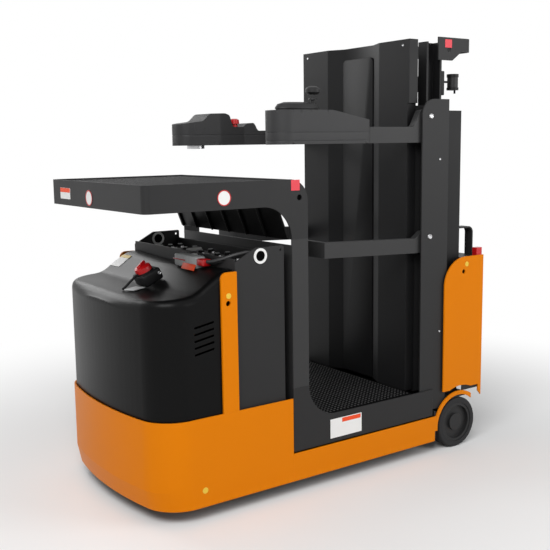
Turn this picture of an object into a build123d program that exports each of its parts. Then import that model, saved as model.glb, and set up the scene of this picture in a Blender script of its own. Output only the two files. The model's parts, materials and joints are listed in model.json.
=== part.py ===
from build123d import *
import math
import os

# Compact order picker truck, in millimetres.
# +X is forward (hood and tray end), +Y is the operator's left when facing the tray, +Z is up.
# The origin is on the floor under the middle of the truck's bounding box.

# Overall
overall_length = 1510.0
overall_width = 750.0
overall_top = 1620.0
half_width = overall_width / 2
front_x = overall_length / 2
rear_x = -overall_length / 2
clearance = 5.0
seat_gap = 0.3

# Hull
hull_wall = 6.0
hull_bottom = 51.0
hull_top = 351.0
sill_top = 151.0
bow_radius = 1420.0
bow_corner = 130.0
notch_from_front = 557.0
notch_x = front_x - notch_from_front
sill_end_from_rear = 260.0
sill_end_x = rear_x + sill_end_from_rear
ledge_width = 16.0
ledge_depth = 6.0
arch_gap = 14.0
arch_band = 16.0

# Orange posts beside the hood
strip_from_front = 275.0
strip_front_x = front_x - strip_from_front
strip_width = 60.0
strip_rear_x = strip_front_x - strip_width
strip_top = 818.0
strip_corner = 22.0
strip_thickness = 8.0
tie_hole_radius = 9.0
tie_hole_z = 716.0
tie_hole_front_x = strip_rear_x + 34.0
tie_hole_from_rear = 112.0
tie_hole_rear_x = rear_x + tie_hole_from_rear

# Casters
caster_from_front = 143.0
caster_x = front_x - caster_from_front
caster_from_side = 210.0
caster_y = half_width - caster_from_side
caster_radius = 75.0
caster_width = 40.0
caster_trail = 38.0
caster_stem = 12.5
caster_axle = 6.0
caster_swing = {"left": 180.0, "right": 32.0}

# Floor plate and front deck
floor_plate_z = 60.0
floor_plate = 10.0
deck_z = 196.0
deck_plate = 10.0
bulkhead_x = caster_x - 142.0
bulkhead = 10.0

# Hood
hood_wall = 4.0
hood_side_gap = 8.5
hood_seat = 6.0
hood_base = hull_top - hood_seat
hood_rear_x = strip_rear_x + 4.0
hood_rear_z = 842.0
hood_knee_x = strip_front_x + 20.0
hood_knee_z = 812.0
hood_brow_x = strip_front_x + 120.0
hood_brow_z = 760.0
hood_front_z = 714.0
hood_edge = 28.0
vent_count = 5
vent_x = strip_front_x + 62.0
vent_top_z = 655.0
vent_length = 74.0
vent_height = 7.0
vent_pitch = 22.0
vent_drop = 10.0

# Emergency disconnect on the hood
disconnect_x = strip_front_x + 86.0
disconnect_y = 34.0
disconnect_z = 776.0
disconnect_length = 70.0
disconnect_width = 76.0
disconnect_height = 34.0
hood_slope = 26.0
knob_radius = 31.0
knob_height = 16.0
lever_length = 90.0
lever_width = 14.0
lever_height = 8.0

# Battery compartment
battery_plate = 5.0
battery_plate_inset = 12.0
battery_plate_y = half_width - battery_plate_inset
battery_plate_rear_x = notch_x + 25.0
battery_plate_front_x = strip_rear_x - 1.0
battery_plate_overlap = 60.0
battery_plate_top = 887.0
battery_plate_flat_x = battery_plate_rear_x + 116.0
battery_plate_low = 845.0
grommet_x = battery_plate_rear_x + 96.0
grommet_z = battery_plate_top - 28.0
grommet_radius = 17.0
plate_hole_radius = 4.5
plate_hole_inset = 14.0
wall_top = 856.0
wall_thickness = 6.0
rear_wall_drop = 30.0
cell_rows = 4
cell_columns = 6
cell_top = 838.0
cell_gap = 2.0
cell_height = 24.0
cap_radius = 11.0
cap_height = 12.0
case_wall = 5.0
case_drop = 50.0
case_bottom = floor_plate_z + floor_plate
case_front_x = battery_plate_front_x - wall_thickness
case_rear_x = battery_plate_rear_x + wall_thickness
case_half = battery_plate_y - battery_plate - seat_gap
connector_y = 20.0
connector_length = 130.0
connector_depth = 38.0
connector_height = 36.0
grip_length = 55.0
grip_height = 27.0

# Drive wheels
wheel_radius = 102.0
wheel_width = 60.0
wheel_from_rear = 130.0
wheel_x = rear_x + wheel_from_rear
wheel_inset = 7.0
wheel_face_y = half_width - wheel_inset
tyre_depth = 22.0
tyre_edge = 7.0
hub_rim = 12.0
hub_boss = 34.0
axle_radius = 17.0
axle_fit = 0.5
gear_radius = 62.0
gear_length = 60.0
motor_radius = 52.0
motor_gap = 60.0

# Masts
rail_depth = 90.0
outer_from_rear = 105.0
outer_rear_x = rear_x + outer_from_rear
outer_front_x = outer_rear_x + rail_depth
outer_inset = 35.0
outer_out_y = half_width - outer_inset
outer_width = 40.0
outer_web = 10.0
outer_in_y = outer_out_y - outer_width
outer_top = 1342.0
beam_top = 214.0
beam_bottom = 170.0
wheel_house_z = 208.0
wheel_house_plate = 8.0
outer_bottom = wheel_house_z + wheel_house_plate
flange = 10.0
inner_lap = 25.0
inner_rear_x = outer_front_x - inner_lap
inner_depth = 81.0
inner_front_x = inner_rear_x + inner_depth
inner_out_y = outer_in_y - clearance
inner_width = 45.0
inner_web_y = inner_out_y - inner_width
inner_web = 8.0
inner_bottom = 180.0
inner_top = 1600.0
cross_depth = 14.0
outer_cross = 9.0
cross_height = 60.0
outer_cross_middle = 640.0
inner_cross_middle = 760.0
top_cross_z = 1420.0
mast_roller_radius = 34.0
mast_roller_z = (255.0, 325.0)
mast_roller_gap = 3.0
pulley_x = inner_rear_x + 30.0
pulley_inset = 130.0
pulley_y = inner_web_y - pulley_inset
pulley_z = inner_top - 55.0
pulley_radius = 42.0
pulley_width = 30.0
pulley_pin = 8.0
pulley_lug = 6.0

# Axle beam
axle_beam_front = inner_rear_x - 7.0
axle_beam_depth = 98.0
axle_beam_rear = axle_beam_front - axle_beam_depth
beam_half = outer_in_y

# Lift cylinders
cylinder_inset = 50.0
cylinder_y = inner_web_y - cylinder_inset
cylinder_radius = 22.0
rod_radius = 14.0
bore_clearance = 1.0
cylinder_x = outer_rear_x + 36.0
cylinder_top = 1290.0
rod_bottom = 260.0

# Platform
skin = 6.0
side_inset = 5.0
side_y = half_width - side_inset
side_in_y = side_y - skin
tray_front_x = front_x - 13.0
tray_corner = 22.0
tray_top = 1107.0
tray_height = 88.0
tray_bottom = tray_top - tray_height
post_front_x = notch_x - clearance
post_width = 68.0
post_rear_x = post_front_x - post_width
tray_rear_x = post_front_x + skin
arch_radius = 115.0
sill_radius = 125.0
shoulder_radius = 74.0
lift_hole_radius = 10.0
lift_hole_x = post_rear_x + 35.0
lift_hole_z = tray_top - 62.0
side_bottom = sill_top + clearance
side_end_from_rear = 270.0
side_rear_x = rear_x + side_end_from_rear
floor_top = 262.0
mat_thickness = 6.0
pan_thickness = 8.0
pan_rib = 40.0
pan_rib_y = 200.0
deck_drop = 10.0
deck_sheet = 4.0
bearer_width = 30.0
bearer_y = 240.0
deck_notch = 24.0
rib_panel_front_x = tray_rear_x + 51.0
rib_panel_rear_x = tray_rear_x + 1.0
rib_panel_bottom = 905.0

# Backrest
backrest_from_rear = 368.0
backrest_x = rear_x + backrest_from_rear
backrest_inset = 46.0
backrest_half = side_y - backrest_inset
backrest_notch = 9.0
backrest_notch_half = backrest_half - backrest_notch
backrest_notch_z = 1368.0
backrest_top = 1601.0
backrest_skin = 4.0
backrest_return = 43.0
recess_half = 47.0
recess_mouth_half = 155.0
recess_top = 1551.0
recess_bottom = 604.0

# Columns beside the mast
column_y = side_in_y
column_skin = 6.0
column_from_rear = 197.0
column_rear_x = rear_x + column_from_rear
column_depth = 139.0
column_front_x = column_rear_x + column_depth
column_top = 1383.0
column_round = 62.0
column_bottom = 180.0
column_flange = 20.0

# Carriage
carriage_y = inner_out_y + clearance
carriage_plate = 12.0
carriage_front_x = backrest_x - backrest_return
carriage_rear_x = outer_front_x + 10.0
carriage_bottom = floor_top - 10.0
carriage_top = 1360.0
carriage_beams = (280.0, 700.0, 1240.0)
carriage_beam_depth = 30.0
carriage_beam_height = 70.0
roller_radius = 29.5
roller_length = 30.0
roller_pin = 12.0
roller_z = (290.0, 480.0)

# Gates
gate_pivot_x = column_front_x - 27.0
gate_pivot_z = 1319.0
bar_pivot_x = column_front_x - 42.0
bar_pivot_z = 867.0
pivot_radius = 9.0
pivot_fit = 0.5
arm_gap = 6.0
arm_thickness = 27.0
arm_outer_y = column_y - column_skin - arm_gap
arm_inner_y = arm_outer_y - arm_thickness
arm_bottom = 1222.0
arm_height = 58.0
arm_top = arm_bottom + arm_height
pod_length = 400.0
pod_front_x = post_front_x + 42.0
pod_rear_x = pod_front_x - pod_length
arm_front_x = pod_rear_x
pod_outer_y = column_y
pod_width = 119.0
pod_inner_y = pod_outer_y - pod_width
pod_bottom = arm_bottom
bar_front_x = pod_front_x - 196.0
bar_height = 56.0
bar_rise = 17.0
bar_top_at_column = 863.0
bar_return = 90.0

# Top hoop and lamp
hoop_top = overall_top
hoop_height = 50.0
hoop_bar = 6.0
hoop_y = inner_out_y + hoop_bar
hoop_front_x = inner_rear_x + 24.0
hoop_from_rear = 5.0
hoop_rear_x = rear_x + hoop_from_rear
hoop_corner = 34.0
hoop_gusset = 36.0
hoop_gusset_front = 52.0
hoop_gusset_rear = 105.0
hoop_hole_x = inner_rear_x - 33.0
hoop_hole_z = hoop_top - 46.0
hoop_hole_radius = 10.0
lamp_rear_x = hoop_rear_x - 2.0
lamp_front_x = lamp_rear_x + 62.0
lamp_y = 190.0
lamp_width = 60.0
lamp_z = 1425.0
lamp_height = 63.0
lamp_arm = 6.0
lamp_arm_y = inner_out_y - 33.0

# Rear panels, cover and fittings
panel_from_rear = 217.0
panel_front_x = rear_x + panel_from_rear
panel_top = 775.0
panel_round = 112.0
panel_bottom = 60.0
panel_leg = 16.0
panel_foot_z = 243.0
panel_arch_gap = 21.0
cover_top = 770.0
cover_bottom = 230.0
cover_sheet = 4.0
handle_top = 888.0
handle_width = 38.0
handle_bar = 6.0
handle_inset = 65.0
handle_y = half_width - handle_inset
handle_rear_x = rear_x + 14.0
handle_round = 26.0
switch_length = 30.0
switch_width = 23.0
switch_height = 34.0


def block(x0, x1, y0, y1, z0, z1):
    """A box between two corners."""
    size = (abs(x1 - x0), abs(y1 - y0), abs(z1 - z0))
    centre = ((x0 + x1) / 2, (y0 + y1) / 2, (z0 + z1) / 2)
    return Pos(*centre) * Box(*size)


def rounded(corners):
    """A face from corners given as (x, y, radius)."""
    count = len(corners)
    starts = []
    ends = []
    middles = []
    for i, (x, y, radius) in enumerate(corners):
        here = Vector(x, y)
        before = Vector(*corners[i - 1][:2])
        after = Vector(*corners[(i + 1) % count][:2])
        towards_before = (before - here).normalized()
        towards_after = (after - here).normalized()
        if radius <= 0:
            starts.append(here)
            ends.append(here)
            middles.append(None)
            continue
        half = math.radians(towards_before.get_angle(towards_after)) / 2
        reach = radius / math.tan(half)
        bisector = (towards_before + towards_after).normalized()
        starts.append(here + towards_before * reach)
        ends.append(here + towards_after * reach)
        middles.append(here + bisector * (radius / math.sin(half) - radius))
    edges = []
    for i in range(count):
        if middles[i] is not None:
            edges.append(ThreePointArc(starts[i], middles[i], ends[i]))
        following = (i + 1) % count
        if (starts[following] - ends[i]).length > 1e-6:
            edges.append(Line(ends[i], starts[following]))
    return make_face(edges)


def slab_y(face, y0, y1):
    """Extrude an outline drawn in X and Z between two values of Y."""
    return extrude(Plane.XZ.offset(-max(y0, y1)) * face, amount=abs(y1 - y0))


def slab_z(face, z0, z1):
    """Extrude an outline drawn in X and Y between two values of Z."""
    return extrude(Pos(0, 0, z0) * face, amount=z1 - z0)


def rod_y(x, z, radius, y0, y1):
    """A cylinder along Y."""
    return Pos(x, (y0 + y1) / 2, z) * Rot(90, 0, 0) * Cylinder(radius, abs(y1 - y0))


def rod_z(x, y, radius, z0, z1):
    """A cylinder along Z."""
    return Pos(x, y, (z0 + z1) / 2) * Cylinder(radius, abs(z1 - z0))


def other_side(shape):
    """The same shape on the right-hand side."""
    return mirror(shape, about=Plane.XZ)


def bow_face(back_x, inset):
    """Plan outline of hull or hood, with its bowed front and round corners, from back_x forward."""
    half = half_width - inset
    tip = front_x - inset
    edge_x = tip - (bow_radius - math.sqrt(bow_radius ** 2 - half ** 2))
    bow = ThreePointArc((edge_x, -half), (tip, 0), (edge_x, half))
    rest = Polyline((edge_x, half), (back_x, half), (back_x, -half), (edge_x, -half))
    face = make_face([bow, rest])
    corners = face.vertices().filter_by_position(Axis.X, edge_x - 1, edge_x + 1)
    return fillet(corners, bow_corner - inset)


def on_both_sides(shape):
    """A left-hand shape and its mirror, as two separate solids."""
    return [shape, other_side(shape)]


def make_hull():
    """Orange hull: bowed wall with an inner ledge for the hood."""
    outer = slab_z(bow_face(notch_x, 0), hull_bottom, hull_top)
    inner = slab_z(bow_face(notch_x - 1, hull_wall), hull_bottom - 1, hull_top + 1)
    ledge = slab_z(bow_face(strip_front_x, hull_wall - 1), hood_base - ledge_depth, hood_base)
    opening = bow_face(strip_front_x - 1, hull_wall + ledge_width)
    ledge -= slab_z(opening, hood_base - ledge_depth - 1, hood_base + 1)
    return outer - inner + ledge


def make_sills():
    """Low orange sill on each side, with the thin band over the drive wheel."""
    sill = block(sill_end_x, notch_x, half_width - hull_wall, half_width, hull_bottom, sill_top)
    return on_both_sides(sill + arch_band_solid())


def make_strip_posts():
    """Orange post on each side, between hood and battery, with a tie-down hole."""
    face = rounded([
        (strip_rear_x, hull_top, 0),
        (strip_front_x, hull_top, 0),
        (strip_front_x, strip_top, strip_corner),
        (strip_rear_x, strip_top, 0),
    ])
    post = slab_y(face, half_width - strip_thickness, half_width)
    post -= rod_y(tie_hole_front_x, tie_hole_z, tie_hole_radius, half_width - 30, half_width + 10)
    return on_both_sides(post)


def arch_band_solid():
    """Thin band over the drive wheel, joined to the end of the sill."""
    inner_radius = wheel_radius + arch_gap
    outer_radius = inner_radius + arch_band
    ring = rod_y(wheel_x, wheel_radius, outer_radius, half_width - hull_wall, half_width)
    ring -= rod_y(wheel_x, wheel_radius, inner_radius, half_width - 30, half_width + 10)
    keep = block(wheel_x - outer_radius * 0.55, sill_end_x + 40, half_width - 20, half_width + 5,
                 sill_top - 60, sill_top + outer_radius)
    foot = block(sill_end_x - 30, sill_end_x + 10, half_width - hull_wall, half_width,
                 sill_top - 60, sill_top)
    foot -= rod_y(wheel_x, wheel_radius, inner_radius, half_width - 30, half_width + 10)
    return (ring & keep) + foot


def make_chassis_floor():
    """Bottom plate between the sills, turned up at the rear to meet the axle beam."""
    half = half_width - hull_wall
    front = bulkhead_x + bulkhead
    plate = block(sill_end_x - 10, front, -half, half, floor_plate_z, floor_plate_z + floor_plate)
    plate += block(sill_end_x - 10, sill_end_x, -half, half, floor_plate_z, beam_bottom)
    plate += block(axle_beam_front, sill_end_x, -beam_half, beam_half, beam_bottom - 5, beam_bottom + 5)
    return plate


def make_axle_beam():
    """Cross beam over the drive units, with a plate over each wheel that carries the mast."""
    beam = block(axle_beam_rear, axle_beam_front, -beam_half, beam_half, beam_bottom, beam_top)
    for side in (-1, 1):
        beam += block(axle_beam_rear, outer_front_x, side * beam_half, side * (half_width - hull_wall),
                      wheel_house_z, wheel_house_z + wheel_house_plate)
    return beam


def make_front_deck():
    """Plate inside the bow that carries the casters, with a bulkhead down to the floor plate."""
    half = half_width - hull_wall
    deck = slab_z(bow_face(bulkhead_x, hull_wall), deck_z, deck_z + deck_plate)
    deck += block(bulkhead_x, bulkhead_x + bulkhead, -half, half, floor_plate_z + floor_plate, deck_z)
    for side in (-1, 1):
        deck -= rod_z(caster_x, side * caster_y, caster_stem + axle_fit, deck_z - 1, deck_z + deck_plate + 1)
    return deck


def hood_solid(inset):
    """Outer or inner form of the hood, from plan outline and side profile."""
    plan = slab_z(bow_face(hood_rear_x + inset, hood_side_gap + inset), hood_base, hood_rear_z + 50)
    profile = rounded([
        (hood_rear_x - 5, hood_base - 5, 0),
        (front_x + 20, hood_base - 5, 0),
        (front_x + 20, hood_front_z - inset, 0),
        (hood_brow_x, hood_brow_z - inset, 220.0),
        (hood_knee_x, hood_knee_z - inset, 160.0),
        (hood_rear_x - 5, hood_rear_z + 2 - inset, 0),
    ])
    body = plan & slab_y(profile, -half_width - 20, half_width + 20)
    top_face = [f for f in body.faces() if f.normal_at().Z > 0.3]
    rim = []
    for face in top_face:
        for edge in face.edges():
            middle = edge @ 0.5
            if middle.X > hood_rear_x + inset + 3 and edge.length > 20:
                neighbours = [f for f in body.faces() if any(e.is_same(edge) for e in f.edges())]
                if any(abs(f.normal_at().Z) < 0.05 for f in neighbours):
                    rim.append(edge)
    if rim:
        body = fillet(rim, hood_edge - inset)
    return body


def make_hood():
    """Moulded hood shell, open below, with slanted vent slots in each side."""
    shell = hood_solid(0) - hood_solid(hood_wall)
    for row in range(vent_count):
        slot = Rot(0, vent_drop, 0) * Box(vent_length, 2 * half_width + 20, vent_height)
        shell -= Pos(vent_x, 0, vent_top_z - row * vent_pitch) * slot
    return shell - rod_y(tie_hole_front_x, tie_hole_z, tie_hole_radius + 5, -half_width, half_width)


def battery_plate_face():
    base = hull_top - battery_plate_overlap
    return rounded([
        (battery_plate_rear_x, base, 0),
        (battery_plate_front_x, base, 0),
        (battery_plate_front_x, battery_plate_low, 0),
        (battery_plate_flat_x, battery_plate_top, 20.0),
        (battery_plate_rear_x, battery_plate_top, 6.0),
    ])


def make_battery_plates():
    """Black plate on each side of the battery, with a cable grommet hole and a sling hole."""
    plate = slab_y(battery_plate_face(), battery_plate_y - battery_plate, battery_plate_y)
    plate -= rod_y(grommet_x, grommet_z, grommet_radius, 0, half_width)
    plate -= rod_y(battery_plate_rear_x + plate_hole_inset, battery_plate_top - plate_hole_inset,
                   plate_hole_radius, 0, half_width)
    return on_both_sides(plate)


def make_battery_front_wall():
    return block(case_front_x, battery_plate_front_x, -case_half, case_half, case_bottom, wall_top)


def make_battery_rear_wall():
    return block(battery_plate_rear_x, case_rear_x, -case_half, case_half, case_bottom,
                 battery_plate_top - rear_wall_drop)


def make_battery_case():
    """Open steel box that holds the cells."""
    low_x = case_rear_x + seat_gap
    high_x = case_front_x - seat_gap
    half = case_half - 1
    outer = block(low_x, high_x, -half, half, case_bottom, cell_top - case_drop)
    inner = block(low_x + case_wall, high_x - case_wall, -half + case_wall, half - case_wall,
                  case_bottom + case_wall, cell_top)
    return outer - inner


def make_battery_cells():
    """Cells in rows, each with its vent cap, on one tray."""
    low_x = case_rear_x + case_wall + 1
    high_x = case_front_x - case_wall - 1
    half = case_half - case_wall - 2
    shoulder = cell_top - cap_height - cell_height
    cells = block(low_x, high_x, -half, half, case_bottom + case_wall, shoulder)
    pitch_x = (high_x - low_x) / cell_rows
    pitch_y = 2 * half / cell_columns
    for i in range(cell_rows):
        for j in range(cell_columns):
            x = low_x + (i + 0.5) * pitch_x
            y = -half + (j + 0.5) * pitch_y
            lid = Pos(x, y, shoulder + cell_height / 2)
            cells += lid * Box(pitch_x - 2 * cell_gap, pitch_y - 2 * cell_gap, cell_height)
            cells += rod_z(x, y, cap_radius, shoulder + cell_height, cell_top)
    return cells


def make_battery_connector():
    """Grey plug that lies on top of the front wall."""
    high_x = battery_plate_front_x + 4
    return block(high_x - connector_depth, high_x, connector_y, connector_y + connector_length,
                 wall_top + seat_gap, wall_top + connector_height)


def make_connector_grip():
    y = connector_y + connector_length + seat_gap
    return block(battery_plate_front_x - 30, battery_plate_front_x, y, y + grip_length,
                 wall_top + seat_gap, wall_top + seat_gap + grip_height)


def disconnect_place():
    return Pos(disconnect_x, disconnect_y, disconnect_z) * Rot(0, hood_slope, 0)


def make_disconnect_base():
    """Base of the emergency disconnect, on the hood's sloping top."""
    base = disconnect_place() * Box(disconnect_length, disconnect_width, disconnect_height)
    return base - hood_solid(0)


def make_disconnect_knob():
    """Red knob on the base, with its pull lever down the slope."""
    top = disconnect_height / 2
    knob = Pos(0, 0, top + knob_height / 2) * Cylinder(knob_radius, knob_height)
    reach = knob_radius / 2
    lever = Pos(reach + lever_length / 2, -8, top + knob_height / 2) * Box(lever_length, lever_width, lever_height)
    return disconnect_place() * (knob + lever)


def make_outer_mast():
    """Two channel rails that open inwards, with rear cross members."""
    rail = block(outer_rear_x, outer_front_x, outer_in_y, outer_out_y, outer_bottom, outer_top)
    rail -= block(outer_rear_x + flange, outer_front_x - flange, outer_in_y - 1, outer_out_y - outer_web,
                  outer_bottom - 1, outer_top + 1)
    mast = rail + other_side(rail)
    for z in (outer_bottom, outer_cross_middle, outer_top - cross_height - 30):
        mast += block(outer_rear_x, outer_rear_x + outer_cross, -outer_in_y, outer_in_y, z, z + cross_height)
    return mast


def make_lift_cylinders():
    barrels = []
    for side in (-1, 1):
        barrel = rod_z(cylinder_x, side * cylinder_y, cylinder_radius, beam_top, cylinder_top)
        barrel -= rod_z(cylinder_x, side * cylinder_y, rod_radius + bore_clearance,
                        rod_bottom - 20, cylinder_top + 1)
        barrels.append(barrel)
    return barrels


def make_lift_rods():
    rods = []
    for side in (-1, 1):
        rods.append(rod_z(cylinder_x, side * cylinder_y, rod_radius, rod_bottom, top_cross_z))
    return rods


def make_inner_mast():
    """Two channel rails that open outwards, with cross members and lugs over the lift rods."""
    rail = block(inner_rear_x, inner_front_x, inner_web_y, inner_out_y, inner_bottom, inner_top)
    rail -= block(inner_rear_x + flange, inner_front_x - flange, inner_web_y + inner_web, inner_out_y + 1,
                  inner_bottom - 1, inner_top + 1)
    mast = rail + other_side(rail)
    for z in (inner_bottom + 10, inner_cross_middle, top_cross_z):
        mast += block(inner_rear_x, inner_rear_x + cross_depth, -inner_web_y, inner_web_y,
                      z, z + cross_height)
    lug = block(cylinder_x - 20, inner_rear_x + 1, cylinder_y - 24, cylinder_y + 24,
                top_cross_z, top_cross_z + 20)
    pulley_half = pulley_width / 2
    for y in (pulley_y - pulley_half - pulley_lug - 1, pulley_y + pulley_half + 1):
        lug += block(inner_rear_x, pulley_x + 22, y, y + pulley_lug, top_cross_z + cross_height - 1, pulley_z + 14)
    lug += rod_y(pulley_x, pulley_z, pulley_pin, pulley_y - pulley_half - pulley_lug,
                 pulley_y + pulley_half + pulley_lug)
    roller_x = (outer_rear_x + outer_front_x) / 2
    lug += block(roller_x - 20, inner_rear_x + 1, inner_out_y - 10, inner_out_y,
                 mast_roller_z[0] - 33, mast_roller_z[1] + 25)
    for z in mast_roller_z:
        lug += rod_y(roller_x, z, mast_roller_radius, inner_out_y, outer_out_y - outer_web - mast_roller_gap)
    return mast + lug + other_side(lug)


def make_hoop():
    """Flat bar bent round behind the mast top, with a gusset and a lifting hole on each side."""
    outer = rounded([(hoop_front_x, -hoop_y, 0), (hoop_front_x, hoop_y, 0),
                     (hoop_rear_x, hoop_y, hoop_corner), (hoop_rear_x, -hoop_y, hoop_corner)])
    inner_y = hoop_y - hoop_bar
    inner_x = hoop_rear_x + hoop_bar
    inner = rounded([(hoop_front_x + 1, -inner_y, 0), (hoop_front_x + 1, inner_y, 0),
                     (inner_x, inner_y, hoop_corner - hoop_bar), (inner_x, -inner_y, hoop_corner - hoop_bar)])
    bar_bottom = hoop_top - hoop_height
    bar = slab_z(outer, bar_bottom, hoop_top) - slab_z(inner, bar_bottom - 1, hoop_top + 1)
    gusset = rounded([(hoop_front_x, bar_bottom - hoop_gusset, 0), (hoop_front_x, bar_bottom + 1, 0),
                      (inner_rear_x - hoop_gusset_rear, bar_bottom + 1, 0),
                      (inner_rear_x - hoop_gusset_front, bar_bottom - hoop_gusset, 0)])
    plate = slab_y(gusset, hoop_y - hoop_bar, hoop_y)
    hoop = bar + plate + other_side(plate)
    return hoop - rod_y(hoop_hole_x, hoop_hole_z, hoop_hole_radius, -hoop_y - 10, hoop_y + 10)


def make_pulleys():
    pulleys = []
    for side in (-1, 1):
        low = side * pulley_y - pulley_width / 2
        high = side * pulley_y + pulley_width / 2
        pulley = rod_y(pulley_x, pulley_z, pulley_radius, low, high)
        pulleys.append(pulley - rod_y(pulley_x, pulley_z, pulley_pin + 0.5, low - 1, high + 1))
    return pulleys


def make_lamp():
    """Work lamp behind the mast with its bracket from the inner rail."""
    lamp = block(lamp_rear_x, lamp_front_x, lamp_y, lamp_y + lamp_width, lamp_z, lamp_z + lamp_height)
    arm = block(lamp_front_x, inner_rear_x - seat_gap, lamp_arm_y, lamp_arm_y + lamp_arm,
                lamp_z - 25, lamp_z + lamp_height + 2)
    link = block(lamp_front_x - 10, lamp_front_x + 2, lamp_y + lamp_width, lamp_arm_y + lamp_arm,
                 lamp_z + 5, lamp_z + lamp_height - 8)
    return lamp + arm + link


def make_tray_sides():
    """Side of the tray on each side, down to the end of its arch over the post."""
    corner_x = tray_front_x - tray_corner
    low = tray_bottom - arch_radius
    face = rounded([
        (corner_x, tray_bottom, 0),
        (corner_x, tray_top, 0),
        (post_rear_x, tray_top, shoulder_radius),
        (post_rear_x, low, 0),
        (post_front_x, low, 0),
        (post_front_x, tray_bottom, arch_radius - 0.01),
    ])
    plate = slab_y(face, side_in_y, side_y)
    plate -= rod_y(lift_hole_x, lift_hole_z, lift_hole_radius, 0, half_width)
    return on_both_sides(plate)


def make_side_posts():
    """Straight post between the tray's arch and the sill's arch."""
    post = block(post_rear_x, post_front_x, side_in_y, side_y, floor_top + sill_radius, tray_bottom - arch_radius)
    return on_both_sides(post)


def make_side_sills():
    """Side of the platform floor, with its arch up to the post."""
    high = floor_top + sill_radius
    face = rounded([
        (post_rear_x, high, 0),
        (post_rear_x, floor_top, sill_radius - 0.01),
        (side_rear_x, floor_top, 0),
        (side_rear_x, side_bottom, 0),
        (post_front_x, side_bottom, 0),
        (post_front_x, high, 0),
    ])
    return on_both_sides(slab_y(face, side_in_y, side_y))


def make_tray_front():
    """Front of the tray, bent round both corners."""
    corner_x = tray_front_x - tray_corner
    outer = rounded([(corner_x, -side_y, 0), (tray_front_x, -side_y, tray_corner),
                     (tray_front_x, side_y, tray_corner), (corner_x, side_y, 0)])
    inner_x = tray_front_x - skin
    inner_round = tray_corner - skin
    inner = rounded([(corner_x - 1, -side_in_y, 0), (inner_x, -side_in_y, inner_round),
                     (inner_x, side_in_y, inner_round), (corner_x - 1, side_in_y, 0)])
    return slab_z(outer, tray_bottom, tray_top) - slab_z(inner, tray_bottom - 1, tray_top + 1)


def make_tray_rear_wall():
    return block(tray_rear_x, tray_rear_x + skin, -side_in_y, side_in_y, tray_bottom, tray_top)


def make_tray_mesh():
    """Deck of the tray, just below its rim, on three bearers."""
    rear = tray_rear_x + skin
    front = tray_front_x - skin - 1
    high = tray_top - deck_drop
    deck = block(rear, front, -side_in_y, side_in_y, high - deck_sheet, high)
    for y in (-bearer_y, 0.0, bearer_y):
        deck += block(rear, front, y - bearer_width / 2, y + bearer_width / 2, tray_bottom + 4, high - deck_sheet + 1)
    for side in (-1, 1):
        deck -= block(front - deck_notch, front + 1, side * (side_in_y - deck_notch), side * (side_in_y + 1),
                      high - 20, high + 1)
    return deck


def make_ribbed_panel():
    """Curved panel under the rear of the tray."""
    face = rounded([
        (rib_panel_front_x, tray_bottom, 0), (rib_panel_front_x - skin, tray_bottom, 0),
        (rib_panel_rear_x, rib_panel_bottom, 0), (rib_panel_rear_x + skin, rib_panel_bottom, 0),
    ])
    return slab_y(face, -side_in_y, side_in_y)


def make_floor_pan():
    """Floor plate of the platform with two ribs under it."""
    top = floor_top - mat_thickness
    low_x = backrest_x + 1
    high_x = post_front_x - 3
    pan = block(low_x, high_x, -side_in_y, side_in_y, top - pan_thickness, top)
    for y in (-pan_rib_y, pan_rib_y):
        pan += block(low_x, high_x, y - pan_rib / 2, y + pan_rib / 2, top - pan_thickness - pan_rib, top - pan_thickness)
    return pan


def make_floor_mat():
    half = side_in_y - 0.5
    return block(backrest_x + 2, post_rear_x + 40, -half, half, floor_top - mat_thickness, floor_top)


def make_backrest_wings():
    """Folded sheet on each side of the backrest, narrower beside the columns."""
    x = backrest_x
    back = x - backrest_return
    t = backrest_skin
    edge = recess_mouth_half + t
    wing = block(x - t, x, edge, backrest_notch_half, floor_top, backrest_notch_z)
    wing += block(back, x, backrest_notch_half - t, backrest_notch_half, floor_top, backrest_notch_z)
    wing += block(x - t, x, edge, backrest_half, backrest_notch_z, backrest_top)
    wing += block(back, x, backrest_half - t, backrest_half, backrest_notch_z, backrest_top)
    wing += block(back, x, backrest_notch_half - t, backrest_half, backrest_notch_z, backrest_notch_z + t)
    return on_both_sides(wing)


def make_backrest_recess():
    """Middle of the backrest, pressed back into a channel with sloped sides."""
    x = backrest_x
    back = x - backrest_return
    t = backrest_skin
    edge = recess_mouth_half + t
    flat = block(x - t, x, -edge, edge, floor_top, backrest_top)
    cut = make_face(Polyline((x + 1, -recess_mouth_half), (x + 1, recess_mouth_half),
                             (back, recess_half), (back, -recess_half), close=True))
    outside = make_face(Polyline((x, -edge), (x, edge), (back - t, recess_half + t),
                                 (back - t, -recess_half - t), close=True))
    pocket = slab_z(outside, recess_bottom - t, recess_top + t)
    return flat + pocket - slab_z(cut, recess_bottom, recess_top)


def make_columns():
    """Cover plate beside the mast with a round front top corner and a small rear flange."""
    face = rounded([
        (column_front_x, column_bottom, 0),
        (column_front_x, column_top, column_round),
        (column_rear_x, column_top, 0),
        (column_rear_x, column_bottom, 0),
    ])
    plate = slab_y(face, column_y - column_skin, column_y)
    plate += block(column_rear_x, column_rear_x + column_skin, column_y - column_flange,
                   column_y - column_skin + 1, column_bottom, column_top)
    return on_both_sides(plate)


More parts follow.
